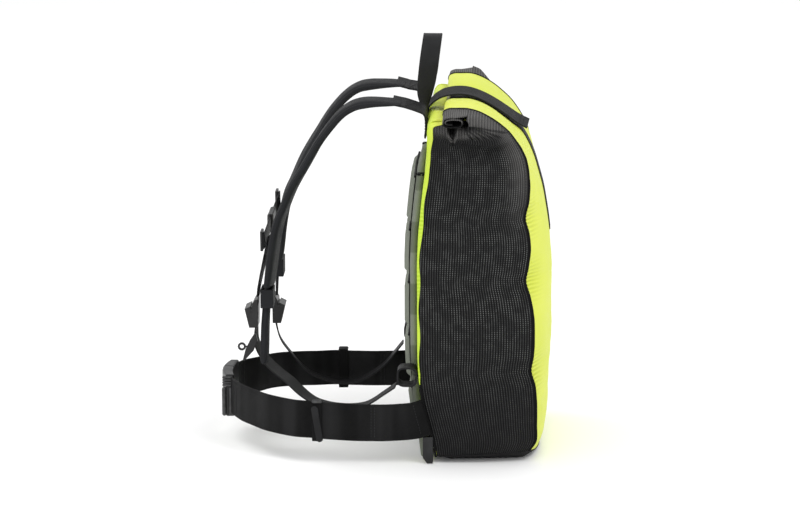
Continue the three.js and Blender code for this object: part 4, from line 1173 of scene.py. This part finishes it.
socket_low, _, (_, y0, z0) = corners("hip_buckle_socket")
plug_high = corners("hip_buckle_plug")[1]
for side, name, face in ((-1, "left", socket_low[0]), (1, "right", plug_high[0])):
    x = face + side * 0.0004
    for k, y in enumerate((y0 - 0.0042, y0 + 0.0046)):
        rod(f"buckle_bar_{name}_{k}", (x, y, z0 - 0.026), (x, y, z0 + 0.008), 0.0031, gloss)
    x = face + side * 0.0002
    for k in range(4):
        z = z0 + 0.0135 + 0.0036 * k
        rod(f"buckle_grip_{name}_{k}", (x, y0 - 0.0055, z), (x, y0 + 0.0055, z), 0.0017, gloss)
for side, name in SIDE_NAMES.items():
    low, high, (_, y, _) = corners(f"belt_keeper_{name}")
    face = low[0] if side < 0 else high[0]
    x = face - side * 0.0002
    rod(f"belt_keeper_{name}_tongue", (face - side * 0.0006, y - 0.0032, low[2] + 0.004),
        (x, y + 0.0032, high[2] - 0.012), 0.0046, webbing, flat=0.3)
    rod(f"belt_keeper_{name}_cap", (x, y - 0.0045, high[2] - 0.001), (x, y + 0.0045, high[2] - 0.001),
        0.0024, gloss)
low, _, (x, _, z) = corners("pull_loop")
rod("pull_neck", (x, low[1] + 0.001, z), (x, low[1] - 0.005, z - 0.001), 0.0014)
for name in SIDE_NAMES.values():
    low, high, (_, y, _) = corners(f"ladder_lock_{name}")
    for k, share in enumerate((0.3, 0.46, 0.62)):
        z = low[2] + (high[2] - low[2]) * share
        rod(f"lock_bar_{name}_{k}", (low[0] + 0.004, y, z), (high[0] - 0.004, y, z), 0.0042, flat=0.8)
_, high, (x0, _, z0) = corners("sternum_buckle")
y = high[1] + 0.0002
for k in range(3):
    x = x0 - 0.006 + 0.006 * k
    rod(f"chest_grip_{k}", (x, y, z0 - 0.006), (x, y, z0 + 0.006), 0.0011)
print("bars and grips are on")

# %% [markdown]
# ## Foam back
#
# The back is a moulded foam plate with five raised cushions, so that air can pass between them. Rays from
# both sides find the two faces of each solid, and the form is crowned between them, with a rolled rim and
# an air channel down the middle of each cushion.


# %% Crowned foam forms
def crowned(node, columns, rows, rim, press):
    """Foam between the two faces of a node, rounded at its rim and pressed in by press. Gives its edge."""
    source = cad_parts[node].data
    tree = BVHTree.FromPolygons([v.co for v in source.vertices], [tuple(p.vertices) for p in source.polygons])
    low, high, _ = corners(node)
    xs = np.linspace(low[0] + 0.0002, high[0] - 0.0002, columns)
    zs = np.linspace(low[2] + 0.0002, high[2] - 0.0002, rows)
    faces = np.zeros((rows, columns, 2))
    for i, z in enumerate(zs):
        for j, x in enumerate(xs):
            for k, (start, way) in enumerate(((1, -1), (-1, 1))):
                hit = tree.ray_cast(Vector((x, start, z)), Vector((0, way, 0)))[0]
                faces[i, j, k] = hit.y if hit else faces[i, max(j - 1, 0), k]
    x, z = np.meshgrid(xs, zs)
    near = np.minimum(np.minimum(x - low[0], high[0] - x), np.minimum(z - low[2], high[2] - z))
    bend = np.sqrt(1 - (1 - np.clip(near / rim, 0.02, 1)) ** 2)
    middle, half = faces.mean(axis=2), (faces[..., 0] - faces[..., 1]) / 2
    inner = middle - half * bend
    outer = np.maximum(middle + half * bend - press(x, z) * bend, inner + 0.0004)
    front = np.stack([x, outer, z], axis=-1)
    back = np.stack([x, inner, z], axis=-1)
    edge = [(0, j) for j in range(columns)] + [(i, columns - 1) for i in range(1, rows)]
    edge += [(rows - 1, j) for j in range(columns - 2, -1, -1)] + [(i, 0) for i in range(rows - 2, 0, -1)]
    ids = [i * columns + j for i, j in edge]
    count = rows * columns
    around = [(a, b, b + count, a + count) for a, b in zip(ids, ids[1:] + ids[:1])]
    sheet = quads(rows, columns)
    mesh = bpy.data.meshes.new(node + "_foam")
    behind = [tuple(v + count for v in face[::-1]) for face in sheet]
    points = np.concatenate([front.reshape(-1, 3), back.reshape(-1, 3)])
    mesh.from_pydata(points.tolist(), [], sheet + behind + around)
    outward(mesh)
    piece = link(node + "_foam", mesh, foam)
    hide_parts(node)
    return np.array([(front[i, j] + back[i, j]) / 2 for i, j in edge])


ridges = [f"back_pad_{k}" for k in range(1, 6)]
spans = [(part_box(node)[0][2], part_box(node)[1][2]) for node in ridges]


def plate_grooves(x, z):
    """Shallow channels in the plate round each cushion, and one down its middle."""
    deep = 0.0016 * np.exp(-((x / 0.006) ** 2))
    for low, high in spans:
        for edge in (low - 0.0045, high + 0.0045):
            groove = 0.0014 * np.exp(-(((z - edge) / 0.002) ** 2)) * ease(0.1, 0.09, np.abs(x))
            deep = np.maximum(deep, groove)
    return deep


plate_edge = crowned("back_plate", 90, 240, 0.004, plate_grooves)
print("foam plate with a rim of", len(plate_edge), "points")

# %% [markdown]
# Each cushion is a low block of softer foam on the plate. It is crowned the same way, with a wide air
# channel down its middle and a fine line on both sides.


# %% Cushions of the foam back
def cushion_channel(x, z):
    return 0.0034 * np.exp(-((x / 0.0075) ** 4)) + 0.0012 * np.exp(-(((np.abs(x) - 0.046) / 0.003) ** 2))


cushion_edges = [crowned(node, 76, 36, 0.007, cushion_channel) for node in ridges]
print(len(cushion_edges), "cushions")

# %% [markdown]
# Dark trim closes the edges: a thin cap on top of every cushion and of the plate, and a welded piping along
# the seams between the neon and the ribbed cloth. Each one is a thin tube along a line of points.


# %% Binding and piping
WELD_FROM = 0.106
CAP_FROM = 0.098


def round_edge(name, path, radius, finish):
    """A thin round edge along a line of points."""
    way = np.gradient(path, axis=0)
    way /= np.maximum(np.linalg.norm(way, axis=1, keepdims=True), 1e-9)
    side = np.cross(way, (0, 0, 1))
    weak = np.linalg.norm(side, axis=1) < 0.2
    side[weak] = np.cross(way[weak], (0, 1, 0))
    side[0] /= np.linalg.norm(side[0])
    for k in range(1, len(path)):
        side[k] = side[k - 1] - way[k] * (side[k - 1] @ way[k])
        side[k] /= max(np.linalg.norm(side[k]), 1e-9)
    face = np.cross(way, side)
    turn = np.arange(8) * math.pi / 4
    ring = np.cos(turn)[None, :, None] * side[:, None] + np.sin(turn)[None, :, None] * face[:, None]
    return tube(name, path[:, None] + ring * radius, finish)


def top_line(edge):
    """The points along the top of a form's edge, from left to right."""
    top = edge[edge[:, 2] > edge[:, 2].max() - 1e-6]
    return top[np.argsort(top[:, 0])]


for node, edge in zip(ridges, cushion_edges):
    round_edge(node + "_cap", top_line(edge), 0.0016, belting)
cap_rows = np.array([(x, y, z - 0.0008, 0, 1, 0, 0.0104, 0.0030) for x, y, z in top_line(plate_edge)])
for side, name in SIDE_NAMES.items():
    sweep(f"plate_cap_{name}", cap_rows[cap_rows[:, 0] * side > CAP_FROM], PAD, belting)
for side, name in SIDE_NAMES.items():
    first, last = (0, -1) if side < 0 else (-1, 0)
    round_edge(f"front_seam_{name}", front_points[:, first], 0.0011, belting)
    seam = back_points[:, last]
    upper = seam[:, 2] > WELD_FROM
    round_edge(f"back_seam_upper_{name}", seam[upper], 0.0009, neon)
    round_edge(f"back_seam_lower_{name}", seam[~upper], 0.0015, belting)
round_edge("base_seam_front", front_points[0], 0.001, belting)
round_edge("base_seam_back", back_points[0], 0.001, belting)
edges = front_grid[12:27, 4:6]
course = refine(edges.mean(axis=1) + normals_of(edges)[:, 0] * 0.00095, 150, 0)
stripe_rows = np.array([(*p, 1, 0, 0, 2 * STRIPE_HALF, 0.0012) for p in course])
stripe = sweep("front_stripe_cloth", stripe_rows, WEB, plain_cloth)
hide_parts("front_stripe")
print("trim is on")

# %% [markdown]
# The neon back is welded over the side, so a narrow band of it shows along the back seam. The band is wider
# near the top. It is a strip of the side's own surface, lifted by about half a millimetre.


# %% Neon welded over the back seams
WELD_LIFT = 0.0006
WELD_ROWS = 224

for side, name in SIDE_NAMES.items():
    turned = -side
    lifted = (side_points[side] + normals_of(side_points[side]) * WELD_LIFT)[:, ::turned]
    rows = []
    for line in lifted[:WELD_ROWS]:
        z = line[0, 2]
        if z < WELD_FROM:
            continue
        walked = lengths(line, 0)
        waves = 0.0011 * math.sin(2 * math.pi * (z - 0.012) / 0.071) * ease(0.40, 0.36, z)
        reach = (0.0022 + 0.0024 * ease(0.2, 0.38, z) + waves) * ease(WELD_FROM - 0.004, WELD_FROM + 0.02, z)
        reach = reach + 0.006 * ease(0.415, 0.45, z)
        rows.append([[np.interp(s, walked, line[:, k]) for k in range(3)] for s in np.linspace(0, reach, 6)])
    cloth_sheet(f"back_weld_{name}", np.array(rows)[:, ::turned], neon, 0.0004)
print("welds are on")

# %% [markdown]
# Stitches are short raised dashes of thread. They lie where the real bag is sewn: in a double line under
# the roll's edge, across the ends of the straps, and across the belt.


# %% Stitches
def stitches(name, path, up, long=0.0026, gap=0.0012, radius=0.00035):
    """Dashes of thread along a path, lifted a little along up."""
    path, up = np.asarray(path, float), np.asarray(up, float)
    walked = lengths(path, 0)
    starts = np.arange(gap, walked[-1] - long, long + gap)
    points, faces = [], []
    turn = np.arange(6) * math.pi / 3

    def spot(s, values):
        return np.array([np.interp(s, walked, values[:, k]) for k in range(3)])

    for s in starts:
        first, last = spot(s, path), spot(s + long, path)
        lift = spot(s + long / 2, up)
        way = (last - first) / np.linalg.norm(last - first)
        side = np.cross(way, lift)
        for share, size in ((0, 0.3), (0.15, 0.9), (0.85, 0.9), (1, 0.3)):
            centre = first + (last - first) * share + lift * radius * size * 0.6
            ring = np.outer(np.cos(turn), side) + np.outer(np.sin(turn), lift)
            points.extend(centre + ring * radius * size)
        base = len(points) - 24
        faces += [tuple(base + v for v in f) for f in quads(4, 6, wrap=True)]
        faces += [tuple(range(base, base + 6))[::-1], tuple(range(base + 18, base + 24))]
    mesh = bpy.data.meshes.new(name)
    mesh.from_pydata([list(p) for p in points], [], faces)
    return link(name, mesh, thread)


def sewn_line(name, rows, spots, height=0.5):
    """Stitches over a strap: spots are pairs of a share along it and a share across it, from -1 to 1."""
    middle, side, face = side_by_side(rows)
    path, up = [], []
    for (s0, u0), (s1, u1) in zip(spots, spots[1:]):
        for t in np.linspace(0, 1, 24):
            k = min(int(round((s0 + (s1 - s0) * t) * (len(rows) - 1))), len(rows) - 1)
            u = u0 + (u1 - u0) * t
            lift = math.copysign(rows[k, 7] * abs(height), height)
            path.append(middle[k] + side[k] * u * rows[k, 6] / 2 + face[k] * lift)
            up.append(face[k] * math.copysign(1, height))
    keep = [0] + [k for k in range(1, len(path)) if np.linalg.norm(path[k] - path[k - 1]) > 1e-5]
    return stitches(name, np.array(path)[keep], np.array(up)[keep])


def sewn_box(start, end, wide):
    """The way round a sewn box, as shares along and across a strap."""
    return [(start, -wide), (end, -wide), (end, wide), (start, wide), (start, -wide)]


print("thread is ready")

# %% Stitches on the straps and the roll
SEWN_ROWS = slice(150, 228)
ROLL_FRONT = slice(0, 60)
LIFT = 0.0004

for name in SIDE_NAMES.values():
    belt = swept[f"hip_belt_{name}"]
    for face, height in (("outside", 0.5), ("inside", -0.5)):
        for share in (0.04, 0.22, 0.235):
            line = [(share, -0.9), (share, 0.9)]
            sewn_line(f"belt_seam_{name}_{face}_{int(share * 100)}", belt, line, height)
        sewn_line(f"belt_end_{name}_{face}", belt, sewn_box(0.93, 0.97, 0.85), height)
    tape = swept[f"shoulder_tape_{name}"]
    for face, height in (("upper", 0.5), ("lower", -0.5)):
        for start, end in ((0.03, 0.3), (0.66, 0.86)):
            line = sewn_box(start, end, 0.8) + [(end, 0.8)]
            sewn_line(f"tape_box_{name}_{face}_{int(start * 100)}", tape, line, height)
for side, name in SIDE_NAMES.items():
    column = -4 if side < 0 else 3
    around = side_points[side][SEWN_ROWS, column]
    out = normals_of(side_points[side])[SEWN_ROWS, column]
    stitches(f"side_seam_{name}", around + out * LIFT, out)
    facing = normals_of(ear_grids[side])
    for line, column in enumerate((-3, -5) if side < 0 else (2, 4)):
        out = facing[ROLL_FRONT, column]
        stitches(f"roll_seam_{name}_{line}", ear_grids[side][ROLL_FRONT, column] + out * LIFT, out)
for face, height in (("upper", 0.5), ("lower", -0.5)):
    for share in (0.93, 0.96, 0.05, 0.08):
        line = [(share, -0.85), (share, 0.85)]
        sewn_line(f"closure_seam_{face}_{int(share * 100)}", swept["closure_strap"], line, height)
    for start in (0.01, 0.93):
        line = sewn_box(start, start + 0.06, 0.8)
        sewn_line(f"handle_foot_{face}_{int(start * 100)}", swept["grab_handle"], line, height)
print("stitches are on")

# %% [markdown]
# The floor is a very large plain white plane just below the bag, so that no edge of it shows. It belongs to
# the studio and not to the bag. The size of the dressed bag is printed.

# %% Studio floor and the bag's size
floor_mesh = bpy.data.meshes.new("floor")
floor_mesh.from_pydata([(-12, -12, 0), (12, -12, 0), (12, 12, 0), (-12, 12, 0)], [], [(0, 1, 2, 3)])
floor_mesh.materials.append(floor_paint.material)
floor = bpy.data.objects.new("floor", floor_mesh)
floor.location.z = -0.0006
scene.collection.objects.link(floor)
floor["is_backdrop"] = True

low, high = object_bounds()
print("visual box", [round(v, 3) for v in low], [round(v, 3) for v in high])
